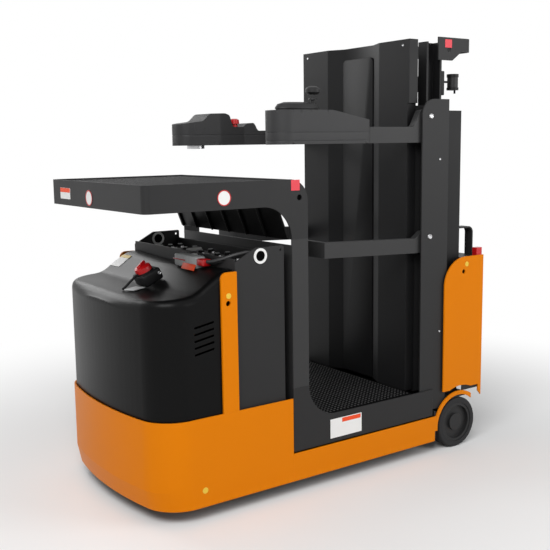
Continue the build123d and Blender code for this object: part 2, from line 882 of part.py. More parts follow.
def make_carriage():
    """Side plates that run on the inner mast, their cross beams and the gate pins."""
    roller_x = (inner_rear_x + inner_front_x) / 2
    plate = block(carriage_rear_x, carriage_front_x, carriage_y, carriage_y + carriage_plate,
                  carriage_bottom, carriage_top)
    for z in roller_z:
        plate += rod_y(roller_x, z, roller_pin, inner_out_y - 1, carriage_y + 1)
        plate += rod_y(roller_x, z, roller_radius, inner_out_y - roller_length, inner_out_y - 1)
    for x, z in ((gate_pivot_x, gate_pivot_z), (bar_pivot_x, bar_pivot_z)):
        plate += rod_y(x, z, pivot_radius, carriage_y + 1, column_y - column_skin)
    parts = plate + other_side(plate)
    beam_front = carriage_front_x - backrest_skin
    for z in carriage_beams:
        parts += block(beam_front - carriage_beam_depth, beam_front, -carriage_y - 1, carriage_y + 1,
                       z, z + carriage_beam_height)
    return parts


def make_arm():
    """Upper gate arm with its cranked root round the pivot."""
    face = rounded([
        (arm_front_x, arm_bottom, 0),
        (arm_front_x, arm_top, 0),
        (gate_pivot_x + 60, arm_top, 20.0),
        (gate_pivot_x + 26, gate_pivot_z + 24, 18.0),
        (gate_pivot_x - 26, gate_pivot_z + 24, 18.0),
        (gate_pivot_x - 26, arm_bottom, 30.0),
    ])
    arm = slab_y(face, arm_inner_y, arm_outer_y)
    return arm - rod_y(gate_pivot_x, gate_pivot_z, pivot_radius + pivot_fit, 0, half_width)


def pod_plan():
    return rounded([
        (pod_rear_x, pod_inner_y + 30, 14.0), (pod_rear_x, pod_outer_y, 14.0),
        (pod_front_x, pod_outer_y, 54.0), (pod_front_x, pod_inner_y, 54.0),
        (pod_front_x - 150, pod_inner_y, 60.0), (pod_rear_x + 120, pod_inner_y + 30, 60.0),
    ])


def make_pod():
    """Control pod on the arm's end: base tray and a top with a palm dome at its front."""
    profile = rounded([
        (pod_rear_x - 2, pod_bottom, 0), (pod_front_x + 2, pod_bottom, 0),
        (pod_front_x + 2, pod_bottom + 96, 20.0), (pod_front_x - 40, pod_bottom + 140, 40.0),
        (pod_front_x - 110, pod_bottom + 140, 30.0), (pod_front_x - 140, pod_bottom + 114, 10.0),
        (pod_front_x - 201, pod_bottom + 124, 10.0), (pod_rear_x - 2, pod_bottom + 81, 0),
    ])
    return slab_z(pod_plan(), pod_bottom, pod_bottom + 180) & slab_y(profile, 0, half_width)


def make_pod_knob():
    """Mushroom knob on a stem, on top of the pod."""
    x = pod_front_x - 175
    y = pod_outer_y - 46
    stem = rod_z(x, y, 7.0, pod_bottom + 110, pod_bottom + 168)
    cap = Pos(x, y, pod_bottom + 174) * Cylinder(20.0, 22.0)
    return (stem + cap) - make_pod()


def make_bar():
    """Lower gate bar, with its short return at the free end."""
    low = bar_top_at_column - bar_height
    face = make_face(Polyline(
        (bar_pivot_x - 24, low), (column_front_x + 20, low), (bar_front_x, low + bar_rise),
        (bar_front_x, low + bar_height + bar_rise), (column_front_x + 20, low + bar_height),
        (bar_pivot_x + 24, bar_pivot_z + 22), (bar_pivot_x - 24, bar_pivot_z + 22), close=True))
    bar = slab_y(face, arm_inner_y, arm_outer_y)
    bar += block(bar_front_x - 20, bar_front_x, arm_inner_y - bar_return, arm_inner_y + 1,
                 low + bar_rise, low + bar_height + bar_rise)
    return bar - rod_y(bar_pivot_x, bar_pivot_z, pivot_radius + pivot_fit, 0, half_width)


def make_rear_panels():
    """Orange side panel at the rear, on each side, with its wheel arch."""
    face = rounded([
        (panel_front_x, panel_foot_z, 0), (panel_front_x, panel_top, panel_round),
        (rear_x, panel_top, 0), (rear_x, panel_bottom, 0),
        (rear_x + panel_leg, panel_bottom, 0), (rear_x + panel_leg, panel_foot_z, 0),
    ])
    panel = slab_y(face, half_width - hull_wall, half_width)
    arch = wheel_radius + arch_gap + arch_band + panel_arch_gap
    panel -= rod_y(wheel_x - 10, wheel_radius, arch, half_width - 20, half_width + 10)
    panel -= rod_y(tie_hole_rear_x, tie_hole_z, tie_hole_radius, half_width - 20, half_width + 10)
    return on_both_sides(panel)


def make_rear_cover():
    """Black cover behind the mast between the two orange panels."""
    half = half_width - hull_wall
    t = cover_sheet
    outer = block(rear_x, outer_rear_x, -half, half, cover_bottom, cover_top)
    inner = block(rear_x + t, outer_rear_x + 1, -half + t, half - t, cover_bottom - 1, cover_top - t)
    cover = outer - inner
    return cover - rod_y(tie_hole_rear_x, tie_hole_z, tie_hole_radius + 5, -half_width, half_width)


def make_handle():
    """Strap handle: flat bar from the mast rearwards and down to the cover."""
    x0 = outer_rear_x - seat_gap
    x1 = handle_rear_x
    foot = cover_top + seat_gap
    face = rounded([(x0, handle_top, 0), (x1, handle_top, handle_round), (x1, foot, 0), (x1 + handle_bar, foot, 0),
                    (x1 + handle_bar, handle_top - handle_bar, handle_round - handle_bar),
                    (x0, handle_top - handle_bar, 0)])
    return slab_y(face, handle_y - handle_width / 2, handle_y + handle_width / 2)


def make_switch_box():
    y = half_width - hull_wall - 1
    return block(rear_x + 3, rear_x + 3 + switch_length, y - switch_width, y,
                 cover_top + seat_gap, cover_top + switch_height)


def make_drive_units():
    """Motor and gearbox of each drive wheel under the axle beam, with the axle."""
    inside = wheel_face_y - wheel_width - 6
    gear = rod_y(wheel_x, wheel_radius, gear_radius, inside - gear_length, inside)
    motor = rod_y(wheel_x, wheel_radius, motor_radius, motor_gap, inside - gear_length + 1)
    axle = rod_y(wheel_x, wheel_radius, axle_radius, inside - 1, wheel_face_y - 20)
    saddle = block(wheel_x - 45, axle_beam_front, inside - gear_length, inside,
                   wheel_radius + gear_radius - 22, beam_bottom)
    saddle -= rod_y(wheel_x, wheel_radius, gear_radius, inside - gear_length - 10, inside + 10)
    return on_both_sides(gear + motor + axle + saddle)


def make_tyre():
    ring = rod_y(wheel_x, wheel_radius, wheel_radius, wheel_face_y - wheel_width, wheel_face_y)
    ring = fillet(ring.edges(), tyre_edge)
    return ring - rod_y(wheel_x, wheel_radius, wheel_radius - tyre_depth, 0, half_width + 5)


def make_wheel_hub():
    """Cast hub pressed in the tyre, dished on its outer face, bored for the axle."""
    bore = wheel_radius - tyre_depth
    hub = rod_y(wheel_x, wheel_radius, bore, wheel_face_y - wheel_width + 2, wheel_face_y - 3)
    hub -= rod_y(wheel_x, wheel_radius, bore - hub_rim, wheel_face_y - 16, wheel_face_y)
    hub += rod_y(wheel_x, wheel_radius, hub_boss, wheel_face_y - 17, wheel_face_y - 6)
    return hub - rod_y(wheel_x, wheel_radius, axle_radius + axle_fit, 0, wheel_face_y - 19)


def caster_place(shape, side_name):
    """Turn a caster made at its swivel axis to its parked heading and put it in place."""
    side = 1 if side_name == "left" else -1
    return Pos(caster_x, side * caster_y, 0) * Rot(0, 0, caster_swing[side_name]) * shape


def make_caster_fork():
    """Fork, made with its wheel trailing along local +X from the swivel axis."""
    top = deck_z - 1.0
    crown = rod_z(0, 0, 36.0, top - 30, top)
    stem = rod_z(0, 0, caster_stem, top - 1, deck_z + deck_plate - 1)
    bridge = block(-36, caster_trail + 20, -caster_width / 2 - 12, caster_width / 2 + 12, top - 38, top - 28)
    legs = None
    for side in (-1, 1):
        y0 = side * (caster_width / 2 + 5)
        y1 = side * (caster_width / 2 + 12)
        face = rounded([(-34, top - 29, 4.0), (caster_trail + 19, top - 29, 4.0),
                        (caster_trail + 22, caster_radius - 18, 16.0), (caster_trail - 22, caster_radius - 18, 16.0)])
        leg = slab_y(face, min(y0, y1), max(y0, y1))
        legs = leg if legs is None else legs + leg
    axle = rod_y(caster_trail, caster_radius, caster_axle, -caster_width / 2 - 12, caster_width / 2 + 12)
    return crown + stem + bridge + legs + axle


def make_caster_wheel():
    wheel = rod_y(caster_trail, caster_radius, caster_radius, -caster_width / 2, caster_width / 2)
    wheel = fillet(wheel.edges(), 6.0)
    return wheel - rod_y(caster_trail, caster_radius, caster_axle + axle_fit, -caster_width, caster_width)


both_sides = {
    "wheel_tyre": make_tyre,
    "wheel_hub": make_wheel_hub,
    "gate_arm": make_arm,
    "gate_pod": make_pod,
    "pod_knob": make_pod_knob,
    "gate_bar": make_bar,
}
single = {
    "hull": make_hull,
    "sills": make_sills,
    "strip_posts": make_strip_posts,
    "battery_plates": make_battery_plates,
    "rear_panels": make_rear_panels,
    "drive_units": make_drive_units,
    "chassis_floor": make_chassis_floor,
    "axle_beam": make_axle_beam,
    "front_deck": make_front_deck,
    "hood": make_hood,
    "battery_front_wall": make_battery_front_wall,
    "battery_rear_wall": make_battery_rear_wall,
    "battery_case": make_battery_case,
    "battery_cells": make_battery_cells,
    "battery_connector": make_battery_connector,
    "connector_grip": make_connector_grip,
    "disconnect_base": make_disconnect_base,
    "disconnect_knob": make_disconnect_knob,
    "outer_mast": make_outer_mast,
    "lift_cylinders": make_lift_cylinders,
    "rear_cover": make_rear_cover,
    "strap_handle": make_handle,
    "switch_box": make_switch_box,
    "inner_mast": make_inner_mast,
    "lift_rods": make_lift_rods,
    "mast_hoop": make_hoop,
    "chain_pulleys": make_pulleys,
    "rear_lamp": make_lamp,
    "tray_front": make_tray_front,
    "tray_rear_wall": make_tray_rear_wall,
    "tray_mesh": make_tray_mesh,
    "ribbed_panel": make_ribbed_panel,
    "floor_pan": make_floor_pan,
    "floor_mat": make_floor_mat,
    "tray_sides": make_tray_sides,
    "side_posts": make_side_posts,
    "side_sills": make_side_sills,
    "backrest_wings": make_backrest_wings,
    "backrest_recess": make_backrest_recess,
    "columns": make_columns,
    "carriage": make_carriage,
}


def save(name, shape):
    solids = []
    for item in shape if isinstance(shape, list) else [shape]:
        solids.extend(item.solids())
    part = Compound(children=solids) if len(solids) > 1 else solids[0]
    part.label = name
    export_step(part, os.path.join("parts", name + ".step"))


os.makedirs("parts", exist_ok=True)
for name, maker in single.items():
    save(name, maker())
for name, maker in both_sides.items():
    left = maker()
    save(name + "_left", left)
    save(name + "_right", other_side(left))
for side_name in ("left", "right"):
    save("caster_fork_" + side_name, caster_place(make_caster_fork(), side_name))
    save("caster_wheel_" + side_name, caster_place(make_caster_wheel(), side_name))
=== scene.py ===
import json
import math

import bmesh
import bpy
from bpy.props import FloatProperty, FloatVectorProperty, PointerProperty
from bpy.types import Operator, Panel, PropertyGroup
from mathutils import Matrix, Vector
from mathutils.bvhtree import BVHTree


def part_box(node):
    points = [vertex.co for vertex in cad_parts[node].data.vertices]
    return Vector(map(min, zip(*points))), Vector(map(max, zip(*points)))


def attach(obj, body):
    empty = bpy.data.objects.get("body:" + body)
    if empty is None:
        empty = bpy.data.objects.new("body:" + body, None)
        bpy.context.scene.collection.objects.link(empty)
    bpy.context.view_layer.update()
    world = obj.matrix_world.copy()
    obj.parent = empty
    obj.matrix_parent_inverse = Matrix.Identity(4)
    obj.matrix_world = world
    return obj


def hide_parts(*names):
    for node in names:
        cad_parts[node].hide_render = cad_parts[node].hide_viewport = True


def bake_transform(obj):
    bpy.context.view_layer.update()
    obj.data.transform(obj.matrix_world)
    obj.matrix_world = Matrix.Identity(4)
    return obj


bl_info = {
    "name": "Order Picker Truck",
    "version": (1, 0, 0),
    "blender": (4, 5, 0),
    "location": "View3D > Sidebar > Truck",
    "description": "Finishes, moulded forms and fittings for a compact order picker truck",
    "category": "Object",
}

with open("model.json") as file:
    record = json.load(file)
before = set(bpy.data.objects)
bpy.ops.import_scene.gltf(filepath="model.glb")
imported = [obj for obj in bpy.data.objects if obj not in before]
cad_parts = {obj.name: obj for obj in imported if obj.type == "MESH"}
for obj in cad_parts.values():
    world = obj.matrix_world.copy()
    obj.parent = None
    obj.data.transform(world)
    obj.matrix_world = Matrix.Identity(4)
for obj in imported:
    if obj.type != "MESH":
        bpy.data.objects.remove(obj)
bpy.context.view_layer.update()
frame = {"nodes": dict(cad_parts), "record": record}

UP, DOWN = Vector((0, 0, 1)), Vector((0, 0, -1))
ABOVE_ALL = 2.0
COAT_ROUGHNESS = 0.12
# cosine between true and rounded normal where the rubbed edge starts and is full, and its full share
EDGE_START, EDGE_FULL, EDGE_SHARE = 0.995, 0.90, 0.55


def colour_property(label, value, note):
    return FloatVectorProperty(name=label, description=note, subtype="COLOR", size=3, min=0.0, max=1.0,
                               default=value)


def power_property(label, value, note):
    return FloatProperty(name=label, description=note, subtype="POWER", unit="POWER", default=value)


def angle_property(label, value, note):
    return FloatProperty(name=label, description=note, subtype="ANGLE", unit="ROTATION",
                         default=math.radians(value))


class TruckColours(PropertyGroup):
    """Colours that a user would change."""

    enamel: colour_property("Enamel", (0.68, 0.188, 0.0), "Orange enamel of hull, posts and rear panels")
    coat: colour_property("Black coat", (0.017, 0.017, 0.0175), "Satin coat of the steel sheets")
    painted_light_coat: colour_property("Greyer coat", (0.027, 0.027, 0.0275), "Posts, gate arms and bars")
    # painted shade: the black coat at half its lightness, for the shaded inside of the platform (backrest
    # wings, channel, pad and floor pan)
    painted_shade_coat: colour_property("Backrest", (0.0085, 0.0085, 0.009), "Darker coat of the backrest")
    shell: colour_property("Hood shell", (0.0028, 0.0028, 0.0029), "Moulded hood")
    # painted light: the black coat made lighter for posts, gate arms and bars, whose faces catch the light
    moulding: colour_property("Moulding", (0.030, 0.030, 0.031), "Textured plastic of the control pods")
    mast: colour_property("Mast paint", (0.008, 0.008, 0.0085), "Semi-gloss paint of mast and switch base")
    steel: colour_property("Bare steel", (0.55, 0.55, 0.56), "Rods, pulleys and screws")
    rubber: colour_property("Tyre rubber", (0.018, 0.018, 0.019), "Solid tyres")
    # mat rubber: the rubber's own black, darkened further as painted shade for the shaded floor inside the
    # platform; bungs and cups share it
    mat: colour_property("Mat rubber", (0.0018, 0.0018, 0.0019), "Floor mat, bungs and cups")
    cells: colour_property("Cells", (0.009, 0.009, 0.0095), "Battery cell lids")
    plug: colour_property("Plug", (0.42, 0.43, 0.43), "Grey battery plug")
    cable: colour_property("Cable", (0.035, 0.035, 0.036), "Insulation of the battery cables")
    signal: colour_property("Signal red", (0.50, 0.006, 0.008), "Knob, grip and switch box")
    tag: colour_property("Tag", (0.80, 0.07, 0.012), "Orange-red tags and label bands")
    mark: colour_property("Lift mark", (0.72, 0.055, 0.075), "Red square beside each lifting hole")
    hub: colour_property("Hub", (0.014, 0.014, 0.0145), "Painted cast hub")
    white: colour_property("Label white", (0.78, 0.78, 0.77), "Blank labels and rings")
    yellow: colour_property("Label yellow", (0.74, 0.50, 0.05), "Header band of a blank label")


class TruckStage(PropertyGroup):
    """Camera and light."""

    camera_place: FloatVectorProperty(name="Camera place", description="Where the camera stands",
                                      subtype="XYZ", unit="LENGTH", size=3, default=(1.925, 2.7287, 1.2267))
    camera_yaw: angle_property("Camera yaw", 234.867, "Heading of the view from +X")
    camera_pitch: angle_property("Camera pitch", -8.593, "Tilt of the view, down is negative")
    camera_roll: angle_property("Camera roll", -0.776, "Turn about the line of sight")
    camera_lens: FloatProperty(name="Camera lens", description="Focal length in mm on a 36 mm sensor",
                               default=57.06)
    sky: FloatProperty(name="Sky light", description="Strength of the light from all round", default=0.34)
    key_power: power_property("Key light", 130.0, "Power of the large soft light")
    fill_power: power_property("Fill light", 45.0, "Power of the side light")
    rim_power: power_property("Rim light", 40.0, "Power of the light behind")
    floor_white: FloatProperty(name="Floor", description="Lightness of the floor", default=0.86)


def scene_colours():
    return bpy.context.scene.truck_colours


def scene_stage():
    return bpy.context.scene.truck_stage


def add_node(tree, kind, *sources, **values):
    """A shader node with its values set. A socket as value is linked, and sources go to its first inputs."""
    node = tree.nodes.new(kind)
    for key, value in values.items():
        if isinstance(value, bpy.types.NodeSocket):
            tree.links.new(value, node.inputs[key])
        elif key in node.inputs:
            node.inputs[key].default_value = value
        else:
            setattr(node, key, value)
    for source, target in zip(sources, node.inputs):
        tree.links.new(source, target)
    return node


def add_range(tree, source, before=(0.0, 1.0), after=(0.0, 1.0), **values):
    """Output that follows source evenly from one pair of limits to another."""
    node = add_node(tree, "ShaderNodeMapRange", source, **values)
    for key, limit in zip(("From Min", "From Max", "To Min", "To Max"), (*before, *after)):
        node.inputs[key].default_value = limit
    return node.outputs["Result"]


def mix_colours(tree, factor, first, second):
    """Output between two colours, the first of which may be a socket."""
    node = add_node(tree, "ShaderNodeMix", factor, data_type="RGBA")
    if isinstance(first, bpy.types.NodeSocket):
        tree.links.new(first, node.inputs[6])
    else:
        node.inputs[6].default_value = first
    node.inputs[7].default_value = second
    return node.outputs[2]


def scaled(colour, factor):
    return (*[min(1.0, channel * factor) for channel in colour], 1.0)


def make_finish(name, colour, roughness, metallic=0.0, specular=0.5, coat=0.0, cloud_size=5.0, cloud=0.10,
                grain_size=700.0, grain_depth=0.00005, edge_radius=0.0014, edge_light=1.5, dust=0.0):
    """Coated or moulded surface: clouded colour, fine grain, softened and slightly rubbed edges."""
    material = bpy.data.materials.new(name)
    material.use_nodes = True
    tree = material.node_tree
    shader = tree.nodes["Principled BSDF"]
    for key, value in (("Metallic", metallic), ("Specular IOR Level", specular), ("Coat Weight", coat),
                       ("Coat Roughness", COAT_ROUGHNESS)):
        shader.inputs[key].default_value = value
    place = add_node(tree, "ShaderNodeTexCoord").outputs["Object"]
    clouds = add_node(tree, "ShaderNodeTexNoise", place, Scale=cloud_size, Detail=5.0, Roughness=0.6)
    clouded = mix_colours(tree, clouds.outputs["Fac"], scaled(colour, 1.0 - cloud),
                          scaled(colour, 1.0 + cloud))
    rounded_normal = add_node(tree, "ShaderNodeBevel", Radius=edge_radius, samples=4).outputs["Normal"]
    surface_normal = add_node(tree, "ShaderNodeNewGeometry").outputs["Normal"]
    along = add_node(tree, "ShaderNodeVectorMath", rounded_normal, surface_normal, operation="DOT_PRODUCT")
    edge = add_range(tree, along.outputs["Value"], (EDGE_START, EDGE_FULL), (0.0, EDGE_SHARE))
    rubbed = mix_colours(tree, edge, clouded, scaled(colour, edge_light))
    dullest = min(1.0, roughness * 1.14 + dust)
    gloss = add_range(tree, clouds.outputs["Fac"], after=(roughness * 0.88, dullest))
    grain = add_node(tree, "ShaderNodeTexNoise", place, Scale=grain_size, Detail=3.0)
    bump = add_node(tree, "ShaderNodeBump", Strength=0.6, Distance=grain_depth, Height=grain.outputs["Fac"],
                    Normal=rounded_normal)
    for source, key in ((rubbed, "Base Color"), (gloss, "Roughness"), (bump.outputs["Normal"], "Normal")):
        tree.links.new(source, shader.inputs[key])
    return material


finishes = {}


def build_finishes():
    """One material for each finish on the truck."""
    c = scene_colours()
    printed = dict(roughness=0.42, specular=0.3, cloud=0.04, edge_light=1.0)
    table = {
        "enamel": dict(colour=c.enamel, roughness=0.36, specular=0.08, cloud=0.02, cloud_size=2.5,
                       grain_size=260.0, grain_depth=0.00006, edge_light=1.12, edge_radius=0.002),
        "coat": dict(colour=c.coat, roughness=0.50, specular=0.22, cloud=0.10, grain_size=900.0,
                     grain_depth=0.00010),
        "shell": dict(colour=c.shell, roughness=0.32, specular=0.10, cloud=0.10, cloud_size=3.0,
                      grain_size=320.0, grain_depth=0.00006, edge_radius=0.004),
        "moulding": dict(colour=c.moulding, roughness=0.52, specular=0.26, cloud=0.08, grain_size=1100.0,
                         grain_depth=0.0002, edge_radius=0.002),
        "mast": dict(colour=c.mast, roughness=0.42, specular=0.18, cloud=0.18, grain_size=300.0, dust=0.08),
        "steel": dict(colour=c.steel, roughness=0.28, metallic=1.0, cloud=0.12, cloud_size=40.0,
                      grain_size=500.0, grain_depth=0.00003, edge_light=1.1),
        "rubber": dict(colour=c.rubber, roughness=0.70, specular=0.25, cloud=0.22, cloud_size=14.0,
                       grain_size=420.0, grain_depth=0.0003, dust=0.06),
        # mat: own black of the rubber plus painted shade of the platform floor
        "mat": dict(colour=c.mat, roughness=0.66, specular=0.02, cloud=0.22, cloud_size=14.0,
                    grain_size=420.0, grain_depth=0.0002, dust=0.06),
        # painted shade: darker copy of the black coat for the shaded backrest and floor pan
        "painted_shade_coat": dict(colour=c.painted_shade_coat, roughness=0.42, specular=0.16, cloud=0.12, grain_size=900.0,
                         grain_depth=0.00008),
        # painted light: lighter copy of the black coat for the lit posts, gate arms and bars
        "painted_light_coat": dict(colour=c.painted_light_coat, roughness=0.50, specular=0.26, cloud=0.08, grain_size=900.0,
                          grain_depth=0.00010),
        "cells": dict(colour=c.cells, roughness=0.42, specular=0.3, cloud=0.25, cloud_size=30.0),
        "plug": dict(colour=c.plug, roughness=0.5, cloud=0.08, cloud_size=20.0),
        "cable": dict(colour=c.cable, roughness=0.46, specular=0.4, cloud=0.15, cloud_size=30.0),
        "signal": dict(colour=c.signal, roughness=0.32, specular=0.4, coat=0.2, cloud=0.08, edge_light=1.3),
        "tag": dict(colour=c.tag, **printed),
        "mark": dict(colour=c.mark, **printed),
        "hub": dict(colour=c.hub, roughness=0.48, specular=0.3, cloud=0.25, cloud_size=30.0,
                    grain_size=260.0, grain_depth=0.0004),
        "white": dict(colour=c.white, roughness=0.42, specular=0.3, cloud=0.03, edge_light=1.0),
        "yellow": dict(colour=c.yellow, **printed),
    }
    for name, values in table.items():
        finishes[name] = make_finish("finish_" + name, **values)


# finish of each record slot
SLOT_FINISH = {
    "orange_paint": "enamel",
    "black_paint": "coat",
    "hood_plastic": "shell",
    "black_plastic": "moulding",
    "mast_steel": "mast",
    "bright_steel": "steel",
    "tyre_rubber": "rubber",
    "mat_rubber": "mat",
    "cable_rubber": "cable",
    "battery": "cells",
    "grey_plastic": "plug",
    "red_plastic": "signal",
    "cast_hub": "hub",
}

# nodes whose finish differs from that of their slot
NODE_FINISH = {
    # backrest wings and floor pan take the darkened coat, painted shade inside the platform
    "backrest_wings": "painted_shade_coat",
    "floor_pan": "painted_shade_coat",
    "tray_mesh": "mast",
    # posts, gate arms and bars take the lighter coat, painted light
    **dict.fromkeys(("side_posts", "gate_arm_left", "gate_arm_right", "gate_bar_left", "gate_bar_right"),
                    "painted_light_coat"),
}


def node_slot(name):
    """Material slot that the record gives a node."""
    for entry in frame["record"]["subparts"]:
        if entry["node"] == name:
            return entry["material_slot"]
    raise ValueError("no material slot for " + name)


def turned(axis):
    """Rotation that takes +Z to an axis."""
    return UP.rotation_difference(Vector(axis)).to_matrix().to_4x4()


def round_edges(shape, edges, offset, segments):
    bmesh.ops.bevel(shape, geom=edges, offset=offset, segments=segments, profile=0.5, affect="EDGES",
                    material=-1, clamp_overlap=True)


def add_block(shape, centre, size, turn=None, bevel=0.0, segments=2):
    """Closed block with rounded edges."""
    place = Matrix.Translation(centre) @ (turn or Matrix.Identity(4)) @ Matrix.Diagonal((*size, 1.0))
    made = bmesh.ops.create_cube(shape, size=1.0, matrix=place)["verts"]
    if bevel:
        round_edges(shape, list({edge for vert in made for edge in vert.link_edges}), bevel, segments)


def add_disc(shape, centre, axis, radius, height, top=None, steps=24):
    """Closed round plate with its middle at centre, narrower at its far end where top is given."""
    made = bmesh.ops.create_cone(shape, cap_ends=True, segments=steps, radius1=radius, radius2=top or radius,
                                 depth=height, matrix=Matrix.Translation(centre) @ turned(axis))
    return made["verts"]


def add_ring(shape, centre, axis, outer, inner, height, steps=40):
    """Closed flat ring with its middle at centre."""
    before = set(shape.verts)
    corners = [shape.verts.new(place) for place in (
        (inner, 0, -height / 2), (outer, 0, -height / 2), (outer, 0, height / 2), (inner, 0, height / 2))]
    edges = [shape.edges.new((corners[i], corners[(i + 1) % 4])) for i in range(4)]
    bmesh.ops.spin(shape, geom=edges, cent=(0, 0, 0), axis=(0, 0, 1), angle=math.tau, steps=steps,
                   use_merge=True)
    bmesh.ops.transform(shape, matrix=Matrix.Translation(centre) @ turned(axis),
                        verts=[vert for vert in shape.verts if vert not in before])


def add_stack(shape, x, y, rows):
    """Turned knob on an upright line from rows of middle height, height, radius and radius at its top."""
    for z, height, radius, top in rows:
        add_disc(shape, (x, y, z), UP, radius, height, top=top, steps=32)


def add_screw(shape, centre, axis, radius, height):
    """Button-head screw with a socket, standing on a face at centre."""
    crown_share, rim_share, socket_share = 0.78, 0.32, 0.6
    axis = Vector(axis)
    verts = add_disc(shape, Vector(centre) + axis * height / 2, axis, radius, height,
                     top=radius * crown_share, steps=18)
    crown = max({face for vert in verts for face in vert.link_faces},
                key=lambda face: face.calc_center_median().dot(axis))
    bmesh.ops.inset_individual(shape, faces=[crown], thickness=radius * rim_share)
    bmesh.ops.translate(shape, verts=crown.verts[:], vec=axis * -height * socket_share)


def add_tube(shape, points, radius, steps=10):
    """Round bar through points, closed at both ends."""
    rings = []
    for i, point in enumerate(points):
        ahead = points[min(i + 1, len(points) - 1)]
        behind = points[max(i - 1, 0)]
        axis = (Vector(ahead) - Vector(behind)).normalized()
        ring = bmesh.ops.create_circle(shape, segments=steps, radius=radius,
                                       matrix=Matrix.Translation(point) @ turned(axis))["verts"]
        rings.append(ring)
    for near, far in zip(rings, rings[1:]):
        edges = [edge for ring in (near, far) for vert in ring for edge in vert.link_edges
                 if edge.other_vert(vert) in ring]
        bmesh.ops.bridge_loops(shape, edges=list(set(edges)))
    for ring in (rings[0], rings[-1]):
        bmesh.ops.contextual_create(shape, geom=ring)


def finish_piece(name, shape, finish, smooth=40.0):
    """Turn a closed shape into an object with its finish and record slot."""
    bmesh.ops.recalc_face_normals(shape, faces=shape.faces[:])
    mesh = bpy.data.meshes.new(name)
    shape.to_mesh(mesh)
    shape.free()
    mesh.materials.append(finishes[finish])
    mesh.shade_smooth()
    mesh.set_sharp_from_angle(angle=math.radians(smooth))
    piece = bpy.data.objects.new(name, mesh)
    bpy.context.scene.collection.objects.link(piece)
    return piece


def riding_piece(name, shape, finish, body, smooth=40.0):
    """Finished piece that rides one body."""
    piece = finish_piece(name, shape, finish, smooth)
    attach(piece, body)
    return piece


def node_tree_of(name):
    """Search tree over the surface of a CAD node or a finished piece."""
    shape = bmesh.new()
    shape.from_mesh((frame["nodes"].get(name) or bpy.data.objects[name]).data)
    tree = BVHTree.FromBMesh(shape)
    shape.free()
    return tree


def top_at(tree, x, y=0.0):
    """Height of a surface above a place on the ground, or None beside it."""
    hit = tree.ray_cast(Vector((x, y, ABOVE_ALL)), DOWN)[0]
    return None if hit is None else hit.z


def height_along(line, x, blend=0.012):
    """Height at x on a line of (x, z) points, softened where it turns."""
    total = 0.0
    for shift in (-blend, 0.0, blend):
        place = min(max(x + shift, line[0][0]), line[-1][0])
        for (x0, z0), (x1, z1) in zip(line, line[1:]):
            if x0 <= place <= x1:
                total += z0 + (z1 - z0) * (place - x0) / (x1 - x0)
                break
    return total / 3


def share(value, low, high):
    """0 below low, 1 above high and an even slope between."""
    return min(max((value - low) / (high - low), 0.0), 1.0)


def spaced(low, high, step):
    """Even places from low to high, about a step apart."""
    count = int(round((high - low) / step))
    return [low + (high - low) * i / count for i in range(count + 1)]


def cut_level(shape, axis, place):
    """Cut every face that crosses a plane across an axis."""
    bmesh.ops.bisect_plane(shape, geom=shape.verts[:] + shape.edges[:] + shape.faces[:], dist=1e-6,
                           plane_co=Vector(axis) * place, plane_no=axis)


def sink_seams(shape, levels, depth=0.0013, half=0.0013):
    """Narrow grooves all round a moulding at the given heights."""
    floor_half = half * 0.4
    for level in levels:
        for shift in (-half, -floor_half, floor_half, half):
            cut_level(shape, UP, level + shift)
    shape.normal_update()
    for vert in shape.verts:
        if any(abs(vert.co.z - level) < half * 0.6 for level in levels):
            inward = Vector((vert.normal.x, vert.normal.y, 0.0))
            if inward.length > 0.5:
                vert.co -= inward.normalized() * depth


def reshaped_node(name, node, body, cuts, move, seams=()):
    """Copy of a node's surface, cut finer and eased into its moulded form, that stands for the node."""
    shape = bmesh.new()
    shape.from_mesh(frame["nodes"][node].data)
    bmesh.ops.remove_doubles(shape, verts=shape.verts[:], dist=0.00002)
    for axis, places in zip(Matrix.Identity(3), cuts):
        for place in places:
            cut_level(shape, axis, place)
    for vert in shape.verts:
        move(vert.co)
    sink_seams(shape, seams)
    slot = node_slot(node)
    piece = riding_piece(name, shape, SLOT_FINISH[slot], body, smooth=32.0)
    even = piece.modifiers.new("even_shading", "WEIGHTED_NORMAL")
    even.keep_sharp = True
    even.weight = 100
    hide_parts(node)
    return piece


class TRUCK_OT_finishes(Operator):
    """Give every modelled part of the frame its finish"""

    bl_idname = "truck.finishes"
    bl_label = "Part finishes"

    def execute(self, context):
        build_finishes()
        for name, node in frame["nodes"].items():
            node.data.materials.clear()
            node.data.materials.append(finishes[NODE_FINISH.get(name, SLOT_FINISH[node_slot(name)])])
        return {"FINISHED"}


class TRUCK_OT_hood(Operator):
    """Hood with a hollowed top that falls steeply to a flat lip"""

    bl_idname = "truck.hood"
    bl_label = "Hood"

    # x and height of the top along its middle
    line = ((0.420, 0.8125), (0.462, 0.8085), (0.562, 0.7475), (0.588, 0.7425), (0.690, 0.7415),
            (0.715, 0.738), (0.750, 0.708))
    dish, dish_rear, dish_front, dish_half_width = 0.0095, 0.46, 0.70, 0.30
    unchanged_below, edge_round = 0.70, 0.012

    def execute(self, context):
        hood = node_tree_of("hood")

        def move(point):
            old = top_at(hood, point.x)
            if old is None:
                return
            along = 1 - share(point.x, self.dish_rear, self.dish_front)
            hollow = self.dish * along * (point.y / self.dish_half_width) ** 2
            new = height_along(self.line, point.x) + min(hollow, self.dish * 1.05)
            reach = share(point.z, self.unchanged_below, old - self.edge_round)
            point.z += (reach * reach * (3 - 2 * reach)) * (new - old)

        cuts = (spaced(0.435, 0.740, 0.012), spaced(-0.33, 0.33, 0.03), (0.72, 0.75, 0.78, 0.81))
        reshaped_node("hood_shell", "hood", "root", cuts, move)
        return {"FINISHED"}


